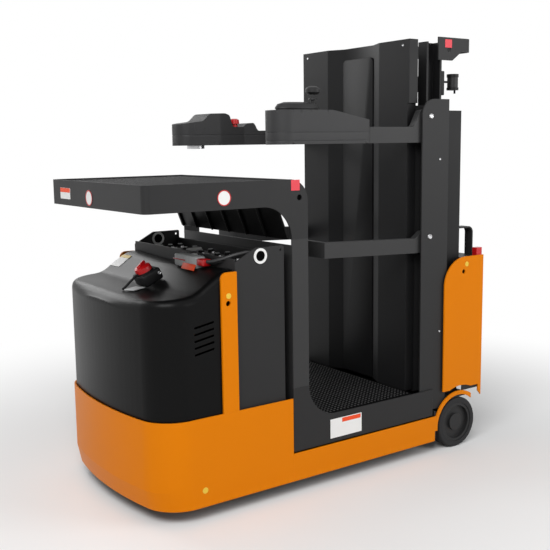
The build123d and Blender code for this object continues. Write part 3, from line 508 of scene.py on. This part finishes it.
class TRUCK_OT_hull(Operator):
    """Hull with its front raked back at the foot"""

    bl_idname = "truck.hull"
    bl_label = "Hull"

    def execute(self, context):
        rake_top, foot, setback = 0.118, 0.051, 0.014
        unchanged_behind, full_ahead_of = 0.48, 0.66

        def move(point):
            back = setback * share(rake_top - point.z, 0.0, rake_top - foot)
            point.x -= back * share(point.x, unchanged_behind, full_ahead_of)

        reshaped_node("hull_shell", "hull", "root", ((), (), (rake_top,)), move)
        return {"FINISHED"}


class TRUCK_OT_far_pod(Operator):
    """Right control pod: low nose, raised grip, red button and a bright foot"""

    bl_idname = "truck.far_pod"
    bl_label = "Right control pod"

    # x and height of the top along its middle
    line = ((-0.170, 1.270), (-0.110, 1.280), (-0.096, 1.311), (-0.055, 1.307), (-0.044, 1.294),
            (0.018, 1.294), (0.034, 1.340), (0.060, 1.347), (0.128, 1.345), (0.152, 1.316), (0.240, 1.303))
    middle_y, button_x, button_y, foot_x = -0.304, -0.012, -0.297, 0.166
    nose_forward, nose_start, nose_full = 0.025, 0.11, 0.20

    def execute(self, context):
        pod = node_tree_of("gate_pod_right")
        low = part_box("gate_pod_right")[0]

        def move(point):
            old = top_at(pod, point.x, self.middle_y)
            if old is not None:
                new = height_along(self.line, point.x, blend=0.005)
                reach = share(point.z, low.z + 0.008, old - 0.010)
                point.z += reach * (new - old)
            point.x += self.nose_forward * share(point.x, self.nose_start, self.nose_full)

        cuts = (spaced(-0.155, 0.225, 0.006), (), (1.236, 1.25, 1.27))
        reshaped_node("far_pod_shell", "gate_pod_right", "gate_right", cuts, move, seams=(1.262,))
        shape = bmesh.new()
        add_disc(shape, (self.button_x, self.button_y, 1.300), UP, 0.0135, 0.014)
        add_stack(shape, self.button_x, self.button_y,
                  ((1.3145, 0.016, 0.0210, 0.0195), (1.3245, 0.005, 0.0195, 0.0120)))
        button = riding_piece("far_pod_button", shape, "signal", "gate_right", smooth=50.0)
        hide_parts("pod_knob_right")
        shape = bmesh.new()
        add_ring(shape, (self.foot_x, self.middle_y, 1.2155), UP, 0.0350, 0.0200, 0.0130)
        add_disc(shape, (self.foot_x, self.middle_y, 1.2175), UP, 0.0290, 0.0080, steps=32)
        riding_piece("far_pod_foot", shape, "steel", "gate_right", smooth=50.0)
        return {"FINISHED"}


class TRUCK_OT_near_pod(Operator):
    """Left control pod: flat top, oval grip and a mushroom knob"""

    bl_idname = "truck.near_pod"
    bl_label = "Left control pod"

    # x and height of the top along its middle
    line = ((-0.170, 1.303), (0.010, 1.338), (0.240, 1.336))
    middle_y, grip_x, knob_x = 0.304, 0.118, 0.050
    unchanged_below = 1.285
    # middle height, height, length, width and share of both at the top
    grip_layers = ((1.3385, 0.005, 0.170, 0.082, 1.0), (1.3445, 0.006, 0.176, 0.088, 0.98),
                   (1.3525, 0.010, 0.172, 0.084, 0.90), (1.3605, 0.006, 0.152, 0.070, 0.72))
    knob_rows = ((1.360, 0.040, 0.0085, 0.0085), (1.3760, 0.006, 0.0150, 0.0130),
                 (1.3945, 0.008, 0.0170, 0.0255), (1.4035, 0.010, 0.0255, 0.0255),
                 (1.4115, 0.006, 0.0255, 0.0215), (1.4165, 0.004, 0.0215, 0.0120))

    def execute(self, context):
        pod = node_tree_of("gate_pod_left")

        def move(point):
            old = top_at(pod, point.x, self.middle_y)
            if old is not None:
                new = height_along(self.line, point.x)
                reach = share(point.z, self.unchanged_below, old - 0.012)
                point.z += reach * (new - old)

        cuts = (spaced(-0.155, 0.225, 0.010), (), (1.30, 1.32))
        reshaped_node("near_pod_shell", "gate_pod_left", "gate_left", cuts, move, seams=(1.262, 1.234))
        shape = bmesh.new()
        for z, height, length, width, top in self.grip_layers:
            oval = Matrix.Diagonal((length / 2, width / 2, 1.0, 1.0))
            bmesh.ops.create_cone(shape, cap_ends=True, segments=48, radius1=1.0, radius2=top, depth=height,
                                  matrix=Matrix.Translation((self.grip_x, self.middle_y, z)) @ oval)
        riding_piece("near_pod_grip", shape, "coat", "gate_left", smooth=50.0)
        shape = bmesh.new()
        add_stack(shape, self.knob_x, self.middle_y, self.knob_rows)
        knob = riding_piece("near_pod_knob", shape, "coat", "gate_left", smooth=50.0)
        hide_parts("pod_knob_left")
        return {"FINISHED"}


class TRUCK_OT_backrest(Operator):
    """Pressed channel down the middle of the backrest, open at its top, with a raised pad in it"""

    bl_idname = "truck.backrest"
    bl_label = "Backrest channel"

    def execute(self, context):
        low, high = [Vector(corner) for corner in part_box("backrest_recess")]
        face, depth, sheet, edge, mouth, flat = high.x, 0.033, 0.004, 0.159, 0.155, 0.088
        pad_top, pad_thickness, pad_corner, pad_rim = 1.556, 0.008, 0.022, 0.002
        plan = [(face, -edge), (face, -mouth), (face - depth, -flat), (face - depth, flat), (face, mouth),
                (face, edge)]
        shape = bmesh.new()
        row = [shape.verts.new((x, y, low.z)) for x, y in plan]
        edges = [shape.edges.new(pair) for pair in zip(row, row[1:])]
        raised = bmesh.ops.extrude_edge_only(shape, edges=edges)["geom"]
        bmesh.ops.translate(shape, verts=[part for part in raised if isinstance(part, bmesh.types.BMVert)],
                            vec=(0, 0, high.z - low.z))
        bmesh.ops.recalc_face_normals(shape, faces=shape.faces[:])
        if shape.faces[0].normal.x < 0:
            bmesh.ops.reverse_faces(shape, faces=shape.faces[:])
        bmesh.ops.solidify(shape, geom=shape.faces[:], thickness=sheet)
        # the channel takes the darkened coat, painted shade
        channel = riding_piece("backrest_channel", shape, "painted_shade_coat", "platform")
        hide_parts("backrest_recess")
        shape = bmesh.new()
        near = 0.001
        bottom = low.z + sheet
        add_block(shape, (face - depth + pad_thickness / 2, 0.0, (pad_top + bottom) / 2),
                  (pad_thickness, 2 * flat + 0.006, pad_top - bottom))
        corners = [line for line in shape.edges
                   if all(vert.co.z > pad_top - near for vert in line.verts)
                   and abs(line.verts[0].co.y - line.verts[1].co.y) < near]
        bmesh.ops.bevel(shape, geom=corners, offset=pad_corner, segments=6, profile=0.5, affect="EDGES",
                        material=-1)
        front = face - depth + pad_thickness
        rims = [line for line in shape.edges if all(vert.co.x > front - near for vert in line.verts)]
        bmesh.ops.bevel(shape, geom=rims, offset=pad_rim, segments=2, profile=0.5, affect="EDGES",
                        material=-1)
        # the pad takes the darkened coat, painted shade
        riding_piece("backrest_pad", shape, "painted_shade_coat", "platform")
        return {"FINISHED"}


class TRUCK_OT_lamp(Operator):
    """Round work lamp behind the mast on its arm and plate"""

    bl_idname = "truck.lamp"
    bl_label = "Work lamp"

    def execute(self, context):
        x, y, low, high = -0.688, 0.255, 1.425, 1.487
        rim_radius, barrel_radius, bore_radius = 0.0235, 0.0212, 0.012
        low_rim, high_rim = 0.010, 0.012
        shape = bmesh.new()
        for z, height in ((low + low_rim / 2, low_rim), (high - high_rim / 2, high_rim)):
            add_ring(shape, (x, y, z), UP, rim_radius, bore_radius, height)
        add_disc(shape, (x, y, high - 0.003), UP, 0.020, 0.004, steps=36)
        add_block(shape, (-0.639, y, 1.456), (0.078, 0.008, 0.008), bevel=0.002)
        add_block(shape, (-0.594, 0.273, 1.448), (0.018, 0.042, 0.092), bevel=0.003)
        add_disc(shape, (x - 0.012, y, low - 0.006), UP, 0.004, 0.014, steps=12)
        lamp = riding_piece("work_lamp", shape, "mast", "inner_mast_body")
        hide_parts("rear_lamp")
        shape = bmesh.new()
        add_disc(shape, (x, y, (low + high) / 2), UP, barrel_radius, high - low - 0.016, steps=48)
        riding_piece("work_lamp_barrel", shape, "hub", "inner_mast_body")
        return {"FINISHED"}


class TRUCK_OT_tray_bars(Operator):
    """Grating bars in the tray, and the closed cups behind the lifting holes"""

    bl_idname = "truck.tray_bars"
    bl_label = "Tray bars"

    def execute(self, context):
        low, high = [Vector(corner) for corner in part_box("tray_mesh")]
        bar_height, bar_pitch, tie_pitch, slack = 0.005, 0.022, 0.075, 0.004
        level = high.z + bar_height / 2
        shape = bmesh.new()
        for x in spaced(low.x + 0.02, high.x - 0.02, bar_pitch):
            add_block(shape, (x, 0.0, level), (0.0035, high.y - low.y - slack, bar_height))
        for y in spaced(low.y + 0.03, high.y - 0.03, tie_pitch):
            add_block(shape, ((low.x + high.x) / 2, y, level - 0.0015),
                      (high.x - low.x - slack, 0.0045, 0.004))
        riding_piece("tray_bars", shape, "moulding", "platform")
        shape = bmesh.new()
        for side in (1, -1):
            add_disc(shape, (0.160, side * 0.3615, 1.045), (0, 1, 0), 0.0165, 0.005)
        riding_piece("lift_hole_cups", shape, "mat", "platform")
        return {"FINISHED"}


class TRUCK_OT_disconnect(Operator):
    """Battery switch on the hood: angled base, red knob with its grip and a black lever"""

    bl_idname = "truck.disconnect"
    bl_label = "Battery switch"

    centre = (0.568, 0.036, 0.778)
    tilt = math.radians(26.0)
    lever = ((0.600, 0.040, 0.790), (0.622, 0.046, 0.782), (0.645, 0.052, 0.767), (0.664, 0.057, 0.753),
             (0.676, 0.060, 0.7465))

    def execute(self, context):
        place = Matrix.Translation(self.centre) @ Matrix.Rotation(self.tilt, 4, "Y")
        shape = bmesh.new()
        add_block(shape, (0, 0, 0), (0.076, 0.082, 0.044), bevel=0.009, segments=3)
        add_disc(shape, (0.004, 0, 0.0235), UP, 0.033, 0.004, steps=36)
        bmesh.ops.transform(shape, matrix=place, verts=shape.verts[:])
        add_tube(shape, self.lever, 0.0045)
        base = riding_piece("switch_base", shape, "mast", "root")
        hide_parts("disconnect_base")
        shape = bmesh.new()
        add_disc(shape, (0.004, 0, 0.033), UP, 0.0305, 0.016, top=0.0285, steps=40)
        add_disc(shape, (0.004, 0, 0.043), UP, 0.0285, 0.005, top=0.0215, steps=40)
        add_block(shape, (0.004, 0, 0.0485), (0.050, 0.013, 0.012), Matrix.Rotation(0.6, 4, "Z"),
                  bevel=0.004, segments=3)
        bmesh.ops.transform(shape, matrix=place, verts=shape.verts[:])
        knob = riding_piece("switch_knob", shape, "signal", "root", smooth=50.0)
        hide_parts("disconnect_knob")
        shape = bmesh.new()
        add_block(shape, (0.640, 0.078, 0.7475), (0.066, 0.040, 0.0035), Matrix.Rotation(0.5, 4, "Z"),
                  bevel=0.001)
        riding_piece("switch_plate", shape, "plug", "root")
        return {"FINISHED"}


class TRUCK_OT_plug(Operator):
    """Grey battery plug with its red end and the cables that leave it"""

    bl_idname = "truck.plug"
    bl_label = "Battery plug"

    x, y, z = 0.448, 0.119, 0.8305
    cable_radius = 0.0065
    # both cables: place of the first, and how much of the shift in x the second takes there
    cable_route = ((0.448, 0.236, 0.838, 0.6), (0.446, 0.256, 0.840, 0.7), (0.436, 0.280, 0.846, 0.9),
                   (0.416, 0.302, 0.855, 1.0), (0.388, 0.318, 0.864, 1.0), (0.354, 0.328, 0.870, 1.0),
                   (0.318, 0.333, 0.868, 1.0), (0.288, 0.335, 0.858, 1.0), (0.268, 0.336, 0.844, 1.0),
                   (0.258, 0.336, 0.828, 1.0))

    def execute(self, context):
        shape = bmesh.new()
        add_block(shape, (self.x, self.y, self.z), (0.040, 0.146, 0.040), bevel=0.004)
        for y in spaced(0.062, 0.176, 0.019):
            add_block(shape, (self.x, y, self.z), (0.042, 0.004, 0.042), bevel=0.001, segments=1)
        body = riding_piece("plug_body", shape, "plug", "root")
        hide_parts("battery_connector")
        shape = bmesh.new()
        add_block(shape, (self.x, 0.215, 0.834), (0.032, 0.046, 0.024), bevel=0.005, segments=3)
        end = riding_piece("plug_end", shape, "signal", "root")
        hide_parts("connector_grip")
        shape = bmesh.new()
        for shift, lift in ((0.0, 0.0), (-0.020, -0.004)):
            points = [(x + shift * part, y, z + lift) for x, y, z, part in self.cable_route]
            add_tube(shape, points, self.cable_radius, steps=14)
        riding_piece("plug_cables", shape, "cable", "root", smooth=60.0)
        return {"FINISHED"}


class TRUCK_OT_platform_panels(Operator):
    """Front panel between the posts, and the ribs of the hollow panel under the tray"""

    bl_idname = "truck.platform_panels"
    bl_label = "Platform panels"

    rib_places = (-0.340, -0.235, -0.118, 0.001, 0.120, 0.242)
    rib_bottom, rib_top, rib_step, rib_depth = 0.906, 1.016, 0.011, 0.012

    def execute(self, context):
        shape = bmesh.new()
        add_block(shape, (0.190, 0.0, 0.5735), (0.006, 0.7276, 0.622), bevel=0.001)
        riding_piece("front_panel", shape, "coat", "platform")
        panel = node_tree_of("ribbed_panel")
        shape = bmesh.new()
        levels = spaced(self.rib_bottom, self.rib_top, self.rib_step)
        for y in self.rib_places:
            for z0, z1 in zip(levels, levels[1:]):
                hits = [panel.ray_cast(Vector((0.6, y, z)), Vector((-1, 0, 0)))[0] for z in (z0, z1)]
                if None in hits:
                    continue
                a, b = hits
                middle = (a + b) / 2
                run = b - a
                width = 0.007 + 0.005 * share(middle.z, 0.905, 1.0)
                add_block(shape, middle + Vector((0.002, 0, 0)), (self.rib_depth, width, run.length + 0.003),
                          turned(run.normalized()), bevel=0.0018, segments=1)
        riding_piece("panel_ribs", shape, "shell", "platform")
        return {"FINISHED"}


class TRUCK_OT_labels(Operator):
    """Blank labels, bands and discs where the truck carries them"""

    bl_idname = "truck.labels"
    bl_label = "Blank labels"

    # record slot of each printed finish
    SLOTS = {"white": "grey_plastic", "tag": "red_plastic", "mark": "red_plastic", "yellow": "orange_paint"}
    # name, finish, body, centre, size
    PLATES = (
        ("sill_label", "white", "platform", (-0.043, 0.3704, 0.206), (0.147, 0.0008, 0.071)),
        ("sill_label_band", "tag", "platform", (-0.0675, 0.3710, 0.231), (0.088, 0.0006, 0.0155)),
        ("tray_label", "white", "platform", (0.7424, -0.240, 1.0605), (0.0008, 0.089, 0.039)),
        ("tray_label_band", "tag", "platform", (0.7430, -0.240, 1.0720), (0.0006, 0.087, 0.0150)),
        ("tray_lift_mark", "mark", "platform", (0.177, 0.3704, 1.0870), (0.036, 0.0008, 0.036)),
        ("hoop_lift_mark", "mark", "inner_mast_body", (-0.614, 0.3014, 1.597), (0.037, 0.0008, 0.031)),
    )
    # name, finish, body, centre, axis, radius
    DISCS = (
        ("tray_side_disc", "white", "platform", (0.459, 0.3704, 1.057), (0, 1, 0), 0.0245),
        ("tray_front_disc", "white", "platform", (0.7424, -0.033, 1.053), (1, 0, 0), 0.0255),
        ("strip_tie_mark", "yellow", "root", (0.453, 0.3754, 0.741), (0, 1, 0), 0.0095),
        ("hull_jack_mark", "yellow", "root", (0.558, 0.3754, 0.108), (0, 1, 0), 0.0105),
        ("rear_tie_mark", "yellow", "root", (-0.659, 0.3754, 0.745), (0, 1, 0), 0.0100),
    )
    # name, centre, axis, outer radius, inner radius
    RIMS = (
        ("tray_side_disc_rim", (0.459, 0.3711, 1.057), (0, 1, 0), 0.0255, 0.0222),
        ("tray_front_disc_rim", (0.7431, -0.033, 1.053), (1, 0, 0), 0.0265, 0.0230),
    )

    def execute(self, context):
        for name, finish, body, centre, size in self.PLATES:
            shape = bmesh.new()
            add_block(shape, centre, size, bevel=0.0002, segments=1)
            riding_piece(name, shape, finish, body)
        for name, finish, body, centre, axis, radius in self.DISCS:
            shape = bmesh.new()
            add_disc(shape, centre, axis, radius, 0.0008, steps=40)
            riding_piece(name, shape, finish, body)
        for name, centre, axis, outer, inner in self.RIMS:
            shape = bmesh.new()
            add_ring(shape, centre, axis, outer, inner, 0.0006)
            riding_piece(name, shape, "signal", "platform")
        self.add_hood_label("hood_label", "white", (0.505, -0.318), (0.056, 0.078), 0.0008)
        self.add_hood_label("hood_label_band", "yellow", (0.484, -0.318), (0.014, 0.078), 0.0013)
        return {"FINISHED"}

    def add_hood_label(self, name, finish, centre, size, height):
        """Thin sheet laid on the hood's curved top."""
        hood = node_tree_of("hood_shell")
        shape = bmesh.new()
        turn = Matrix.Rotation(math.radians(4.0), 4, "Z")
        place = Matrix.Translation((*centre, 1.0)) @ turn @ Matrix.Diagonal((*size, 1.0, 1.0))
        bmesh.ops.create_grid(shape, x_segments=10, y_segments=8, size=0.5, matrix=place)
        for vert in shape.verts:
            vert.co.z = top_at(hood, vert.co.x, vert.co.y) + height
        bmesh.ops.solidify(shape, geom=shape.faces[:], thickness=-0.0006)
        riding_piece(name, shape, finish, "root")


class TRUCK_OT_screws(Operator):
    """Bright screws, bolts and pivot heads"""

    bl_idname = "truck.screws"
    bl_label = "Screws"

    # body, radius, height, axis, places, with those on the columns mirrored to the right side
    GROUPS = {
        "column_bolts": ("platform", 0.0105, 0.005, (0, 1, 0), [
            (-0.462, 0.3643, 1.319), (-0.462, 0.3643, 0.867)]),
        "column_studs": ("platform", 0.0042, 0.002, (0, 1, 0), [
            (-0.512, 0.3643, 1.159), (-0.521, 0.3643, 0.491)]),
        "wing_screws": ("platform", 0.0050, 0.0025, (1, 0, 0), [
            (-0.387, -0.292, 1.580), (-0.387, 0.289, 1.580)]),
        "mast_top_bolts": ("root", 0.0060, 0.004, (0, 1, 0), [
            (-0.572, 0.3402, 1.326), (-0.572, 0.3402, 1.308), (-0.572, 0.3402, 1.291)]),
        "disconnect_screw": ("root", 0.0065, 0.003, (0, 1, 0), [(0.545, 0.0782, 0.793)]),
    }

    def execute(self, context):
        for name, (body, radius, height, axis, places) in self.GROUPS.items():
            shape = bmesh.new()
            for place in places:
                add_screw(shape, place, axis, radius, height)
                if name.startswith("column"):
                    add_screw(shape, (place[0], -place[1], place[2]), (0, -1, 0), radius, height)
            riding_piece(name, shape, "steel", body)
        return {"FINISHED"}


class TRUCK_OT_grommets(Operator):
    """White cable rings in both battery plates"""

    bl_idname = "truck.grommets"
    bl_label = "Cable rings"

    x, z, outer_face, inner_face = 0.319, 0.859, 0.3631, 0.3577

    def execute(self, context):
        rings = bmesh.new()
        bungs = bmesh.new()
        across = (0, 1, 0)
        for side in (1, -1):
            for y, out in ((self.outer_face, 1), (self.inner_face, -1)):
                raised = (self.x, side * (y + out * 0.0012), self.z)
                add_ring(rings, raised, across, 0.026, 0.0175, 0.0024)
                add_disc(bungs, (self.x, side * (y + out * 0.0006), self.z), across, 0.0178, 0.0012)
                add_ring(bungs, raised, across, 0.011, 0.007, 0.003)
        riding_piece("cable_rings", rings, "white", "root")
        riding_piece("cable_ring_bungs", bungs, "mat", "root")
        return {"FINISHED"}


class TRUCK_OT_mat_studs(Operator):
    """Small raised studs over the floor mat"""

    bl_idname = "truck.mat_studs"
    bl_label = "Mat studs"

    def execute(self, context):
        low, high = [Vector(corner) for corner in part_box("floor_mat")]
        mat = node_tree_of("floor_mat")
        pitch = 0.0165
        margin = 0.014
        shape = bmesh.new()
        rows = int((high.y - low.y - 2 * margin) / pitch)
        columns = int((high.x - low.x - 2 * margin) / pitch)
        for i in range(columns + 1):
            for j in range(rows + 1):
                x = low.x + margin + i * pitch
                y = low.y + margin + j * pitch
                top = top_at(mat, x, y)
                if top is not None and top > high.z - 0.0005:
                    add_disc(shape, (x, y, high.z + 0.0006), UP, 0.0042, 0.0016, top=0.0028, steps=8)
        riding_piece("mat_studs", shape, "cable", "platform")
        return {"FINISHED"}


class TRUCK_OT_battery_fittings(Operator):
    """Caps, links and terminals on the cells, and the fittings round the plug"""

    bl_idname = "truck.battery_fittings"
    bl_label = "Battery fittings"

    def execute(self, context):
        low, high = [Vector(corner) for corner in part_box("battery_cells")]
        rows, columns = 4, 6
        pitch_x = (high.x - low.x) / rows
        pitch_y = (high.y - low.y) / columns
        links = bmesh.new()
        studs = bmesh.new()
        caps = bmesh.new()
        for i in range(rows):
            for j in range(columns):
                x = low.x + (i + 0.5) * pitch_x
                y = low.y + (j + 0.5) * pitch_y
                add_ring(caps, (x, y, high.z + 0.0012), UP, 0.0085, 0.004, 0.0024, steps=16)
                add_screw(studs, (x + 0.012, y + 0.038, high.z - 0.0095), UP, 0.0055, 0.006)
                if j + 1 < columns:
                    add_block(links, (x + 0.012, y + 0.055, high.z - 0.0115), (0.013, 0.052, 0.005),
                              bevel=0.0012, segments=1)
        riding_piece("cell_cap_rings", caps, "plug", "root")
        riding_piece("cell_links", links, "cells", "root")
        riding_piece("cell_terminals", studs, "steel", "root")
        shape = bmesh.new()
        turn = Matrix.Rotation(math.radians(20.0), 4, "Z")
        add_block(shape, (0.335, -0.046, 0.846), (0.066, 0.024, 0.009), turn, bevel=0.003)
        add_block(shape, (0.440, 0.141, 0.8548), (0.010, 0.024, 0.0016), bevel=0.0004)
        riding_piece("battery_white_tags", shape, "white", "root")
        shape = bmesh.new()
        add_block(shape, (0.4695, 0.082, 0.8335), (0.003, 0.082, 0.004), bevel=0.001)
        riding_piece("plug_retainer", shape, "signal", "root")
        shape = bmesh.new()
        lean = Matrix.Rotation(math.radians(-24.0), 4, "Y")
        add_block(shape, (0.4745, 0.156, 0.8155), (0.003, 0.086, 0.022), lean, bevel=0.001)
        riding_piece("plug_tag", shape, "tag", "root")
        return {"FINISHED"}


class TRUCK_OT_chains(Operator):
    """Lift chains from the mast foot over the pulleys to the carriage"""

    bl_idname = "truck.chains"
    bl_label = "Lift chains"

    pitch = 0.0127
    plate = (0.0024, 0.0105)
    plate_gap, plates_across, pin_radius = 0.0006, 5, 0.0027
    rear_foot, front_foot = 0.715, 0.372
    cross_face, beam_face = -0.617, -0.464
    pulley_clearance, inset = 0.006, 0.015

    def add_links(self, shape, points):
        """Leaf chain: rows of flat plates on pins."""
        width, depth = self.plate
        for i, (a, b) in enumerate(zip(points, points[1:])):
            a, b = Vector(a), Vector(b)
            turn = turned((b - a).normalized())
            for k in range(self.plates_across):
                if (k + i) % 2:
                    continue
                across = (k - self.plates_across // 2) * (width + self.plate_gap)
                centre = (a + b) / 2 + Vector((0, across, 0))
                add_block(shape, centre, (depth, width, (b - a).length + depth * 0.8), turn, bevel=0.0012,
                          segments=1)
            add_disc(shape, a, (0, 1, 0), self.pin_radius, 5.6 * width, steps=8)

    def straight(self, x, y, top, bottom):
        """Pin places down a straight run."""
        count = int((top - bottom) / self.pitch)
        return [(x, y, top - (top - bottom) * i / count) for i in range(count + 1)]

    def execute(self, context):
        low, high = [Vector(corner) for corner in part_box("chain_pulleys")]
        centre_x, centre_z = (low.x + high.x) / 2, (low.z + high.z) / 2
        reach = (high.x - low.x) / 2 + self.pulley_clearance
        rear_foot, front_foot = self.rear_foot, self.front_foot
        for side_name, side in (("left", 1), ("right", -1)):
            y = side * (high.y - self.inset)
            shape = bmesh.new()
            self.add_links(shape, self.straight(centre_x - reach, y, centre_z, rear_foot))
            piece = finish_piece("chain_rear_" + side_name, shape, "steel")
            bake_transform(piece)
            shape = bmesh.new()
            self.add_links(shape, self.straight(centre_x + reach, y, centre_z, front_foot))
            piece = finish_piece("chain_front_" + side_name, shape, "steel")
            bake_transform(piece)
            shape = bmesh.new()
            turns = 12
            over = [(centre_x - reach * math.cos(math.pi * i / turns), y,
                     centre_z + reach * math.sin(math.pi * i / turns)) for i in range(turns + 1)]
            self.add_links(shape, over)
            riding_piece("chain_over_" + side_name, shape, "steel", "inner_mast_body")
            for name, body, x, face, foot in (
                    ("chain_foot_", "root", centre_x - reach, self.cross_face, rear_foot),
                    ("chain_yoke_", "platform", centre_x + reach, self.beam_face, front_foot)):
                shape = bmesh.new()
                middle = (x + face) / 2
                length = abs(x - face) + 0.016
                add_block(shape, (middle, y, foot - 0.030), (length, 0.034, 0.010), bevel=0.0015)
                add_disc(shape, (x, y, foot - 0.014), UP, 0.006, 0.030, steps=16)
                add_disc(shape, (x, y, foot - 0.040), UP, 0.0095, 0.008, steps=6)
                riding_piece(name + side_name, shape, "coat", body)
        return {"FINISHED"}


def aim(place, target):
    """Rotation that points a light's -Z at a target."""
    return (Vector(target) - Vector(place)).to_track_quat("-Z", "Y").to_euler()


def add_area_light(name, place, target, size, power):
    """Soft rectangular light that looks at a target."""
    data = bpy.data.lights.new(name, "AREA")
    data.shape = "RECTANGLE"
    data.size, data.size_y = size
    data.energy = power
    light = bpy.data.objects.new(name, data)
    light.location = place
    light.rotation_euler = aim(place, target)
    bpy.context.scene.collection.objects.link(light)


def add_background_rays(tree):
    """1 where a ray comes from the camera, a mirror or glass, so that these see a white room."""
    path = add_node(tree, "ShaderNodeLightPath")
    total = path.outputs["Is Camera Ray"]
    for name in ("Is Glossy Ray", "Is Transmission Ray"):
        largest = add_node(tree, "ShaderNodeMath", total, path.outputs[name], operation="MAXIMUM")
        total = largest.outputs["Value"]
    return total


class TRUCK_OT_stage(Operator):
    """Camera, lights, white room and floor"""

    bl_idname = "truck.stage"
    bl_label = "Stage"

    sensor = 36.0
    floor_radius, fade_start, fade_end = 30.0, 0.9, 2.6

    def execute(self, context):
        stage = scene_stage()
        scene = context.scene
        scene.view_settings.view_transform = "Standard"
        data = bpy.data.cameras.new("camera")
        data.sensor_width = self.sensor
        data.lens = stage.camera_lens
        camera = bpy.data.objects.new("camera", data)
        turn = Matrix.Rotation(stage.camera_yaw - math.pi / 2, 4, "Z")
        turn = turn @ Matrix.Rotation(math.pi / 2 + stage.camera_pitch, 4, "X")
        turn = turn @ Matrix.Rotation(stage.camera_roll, 4, "Z")
        camera.matrix_world = Matrix.Translation(Vector(stage.camera_place)) @ turn
        scene.collection.objects.link(camera)
        scene.camera = camera
        self.build_world(stage)
        self.build_floor(stage)
        add_area_light("key_light", (2.6, 2.4, 3.4), (0.0, 0.0, 0.7), (2.6, 1.8), stage.key_power)
        add_area_light("fill_light", (-2.2, 3.0, 1.9), (-0.1, 0.0, 0.8), (2.0, 2.0), stage.fill_power)
        add_area_light("rim_light", (0.8, -3.2, 2.6), (0.0, 0.0, 0.9), (2.4, 1.6), stage.rim_power)
        return {"FINISHED"}

    def build_world(self, stage):
        """White room that lights the truck more softly than it looks."""
        world = bpy.data.worlds.new("white_room")
        world.use_nodes = True
        tree = world.node_tree
        background = tree.nodes["Background"]
        background.inputs["Color"].default_value = (1.0, 1.0, 1.0, 1.0)
        strength = add_range(tree, add_background_rays(tree), after=(stage.sky, 1.0))
        tree.links.new(strength, background.inputs["Strength"])
        bpy.context.scene.world = world

    def build_floor(self, stage):
        """Round floor that fades into the white room at its edge."""
        mesh = bpy.data.meshes.new("floor")
        shape = bmesh.new()
        bmesh.ops.create_circle(shape, cap_ends=True, radius=self.floor_radius, segments=96)
        shape.to_mesh(mesh)
        shape.free()
        floor = bpy.data.objects.new("floor", mesh)
        bpy.context.scene.collection.objects.link(floor)
        material = bpy.data.materials.new("pale_floor")
        material.use_nodes = True
        tree = material.node_tree
        shader = tree.nodes["Principled BSDF"]
        shader.inputs["Base Color"].default_value = (stage.floor_white,) * 3 + (1.0,)
        shader.inputs["Roughness"].default_value = 0.9
        shader.inputs["Specular IOR Level"].default_value = 0.0
        place = add_node(tree, "ShaderNodeTexCoord").outputs["Object"]
        reach = add_node(tree, "ShaderNodeVectorMath", place, operation="LENGTH")
        fade = add_range(tree, reach.outputs["Value"], (self.fade_start, self.fade_end),
                         interpolation_type="SMOOTHSTEP")
        seen = add_node(tree, "ShaderNodeMath", fade, add_background_rays(tree), operation="MULTIPLY")
        glow = add_node(tree, "ShaderNodeEmission", Strength=1.0)
        mix = add_node(tree, "ShaderNodeMixShader", seen.outputs["Value"], shader.outputs["BSDF"],
                       glow.outputs["Emission"])
        tree.links.new(mix.outputs["Shader"], tree.nodes["Material Output"].inputs["Surface"])
        mesh.materials.append(material)


class TRUCK_PT_panel(Panel):
    """Truck tools in the sidebar"""

    bl_label = "Truck"
    bl_idname = "TRUCK_PT_panel"
    bl_space_type = "VIEW_3D"
    bl_region_type = "UI"
    bl_category = "Truck"

    def draw(self, context):
        for operator in OPERATORS:
            self.layout.operator(operator.bl_idname)
        for group in (context.scene.truck_colours, context.scene.truck_stage):
            box = self.layout.box()
            for name in group.bl_rna.properties.keys():
                if name not in ("rna_type", "name"):
                    box.prop(group, name)


OPERATORS = (TRUCK_OT_stage, TRUCK_OT_finishes, TRUCK_OT_hull, TRUCK_OT_hood, TRUCK_OT_far_pod,
             TRUCK_OT_near_pod, TRUCK_OT_backrest, TRUCK_OT_lamp, TRUCK_OT_tray_bars, TRUCK_OT_disconnect,
             TRUCK_OT_plug, TRUCK_OT_platform_panels, TRUCK_OT_labels, TRUCK_OT_screws, TRUCK_OT_grommets,
             TRUCK_OT_mat_studs, TRUCK_OT_battery_fittings, TRUCK_OT_chains)
CLASSES = (TruckColours, TruckStage, *OPERATORS, TRUCK_PT_panel)


def register():
    for item in CLASSES:
        bpy.utils.register_class(item)
    bpy.types.Scene.truck_colours = PointerProperty(type=TruckColours)
    bpy.types.Scene.truck_stage = PointerProperty(type=TruckStage)


def unregister():
    del bpy.types.Scene.truck_stage
    del bpy.types.Scene.truck_colours
    for item in reversed(CLASSES):
        bpy.utils.unregister_class(item)


def main():
    register()
    for operator in OPERATORS:
        group, action = operator.bl_idname.split(".")
        getattr(getattr(bpy.ops, group), action)()


if __name__ == "__main__":
    main()
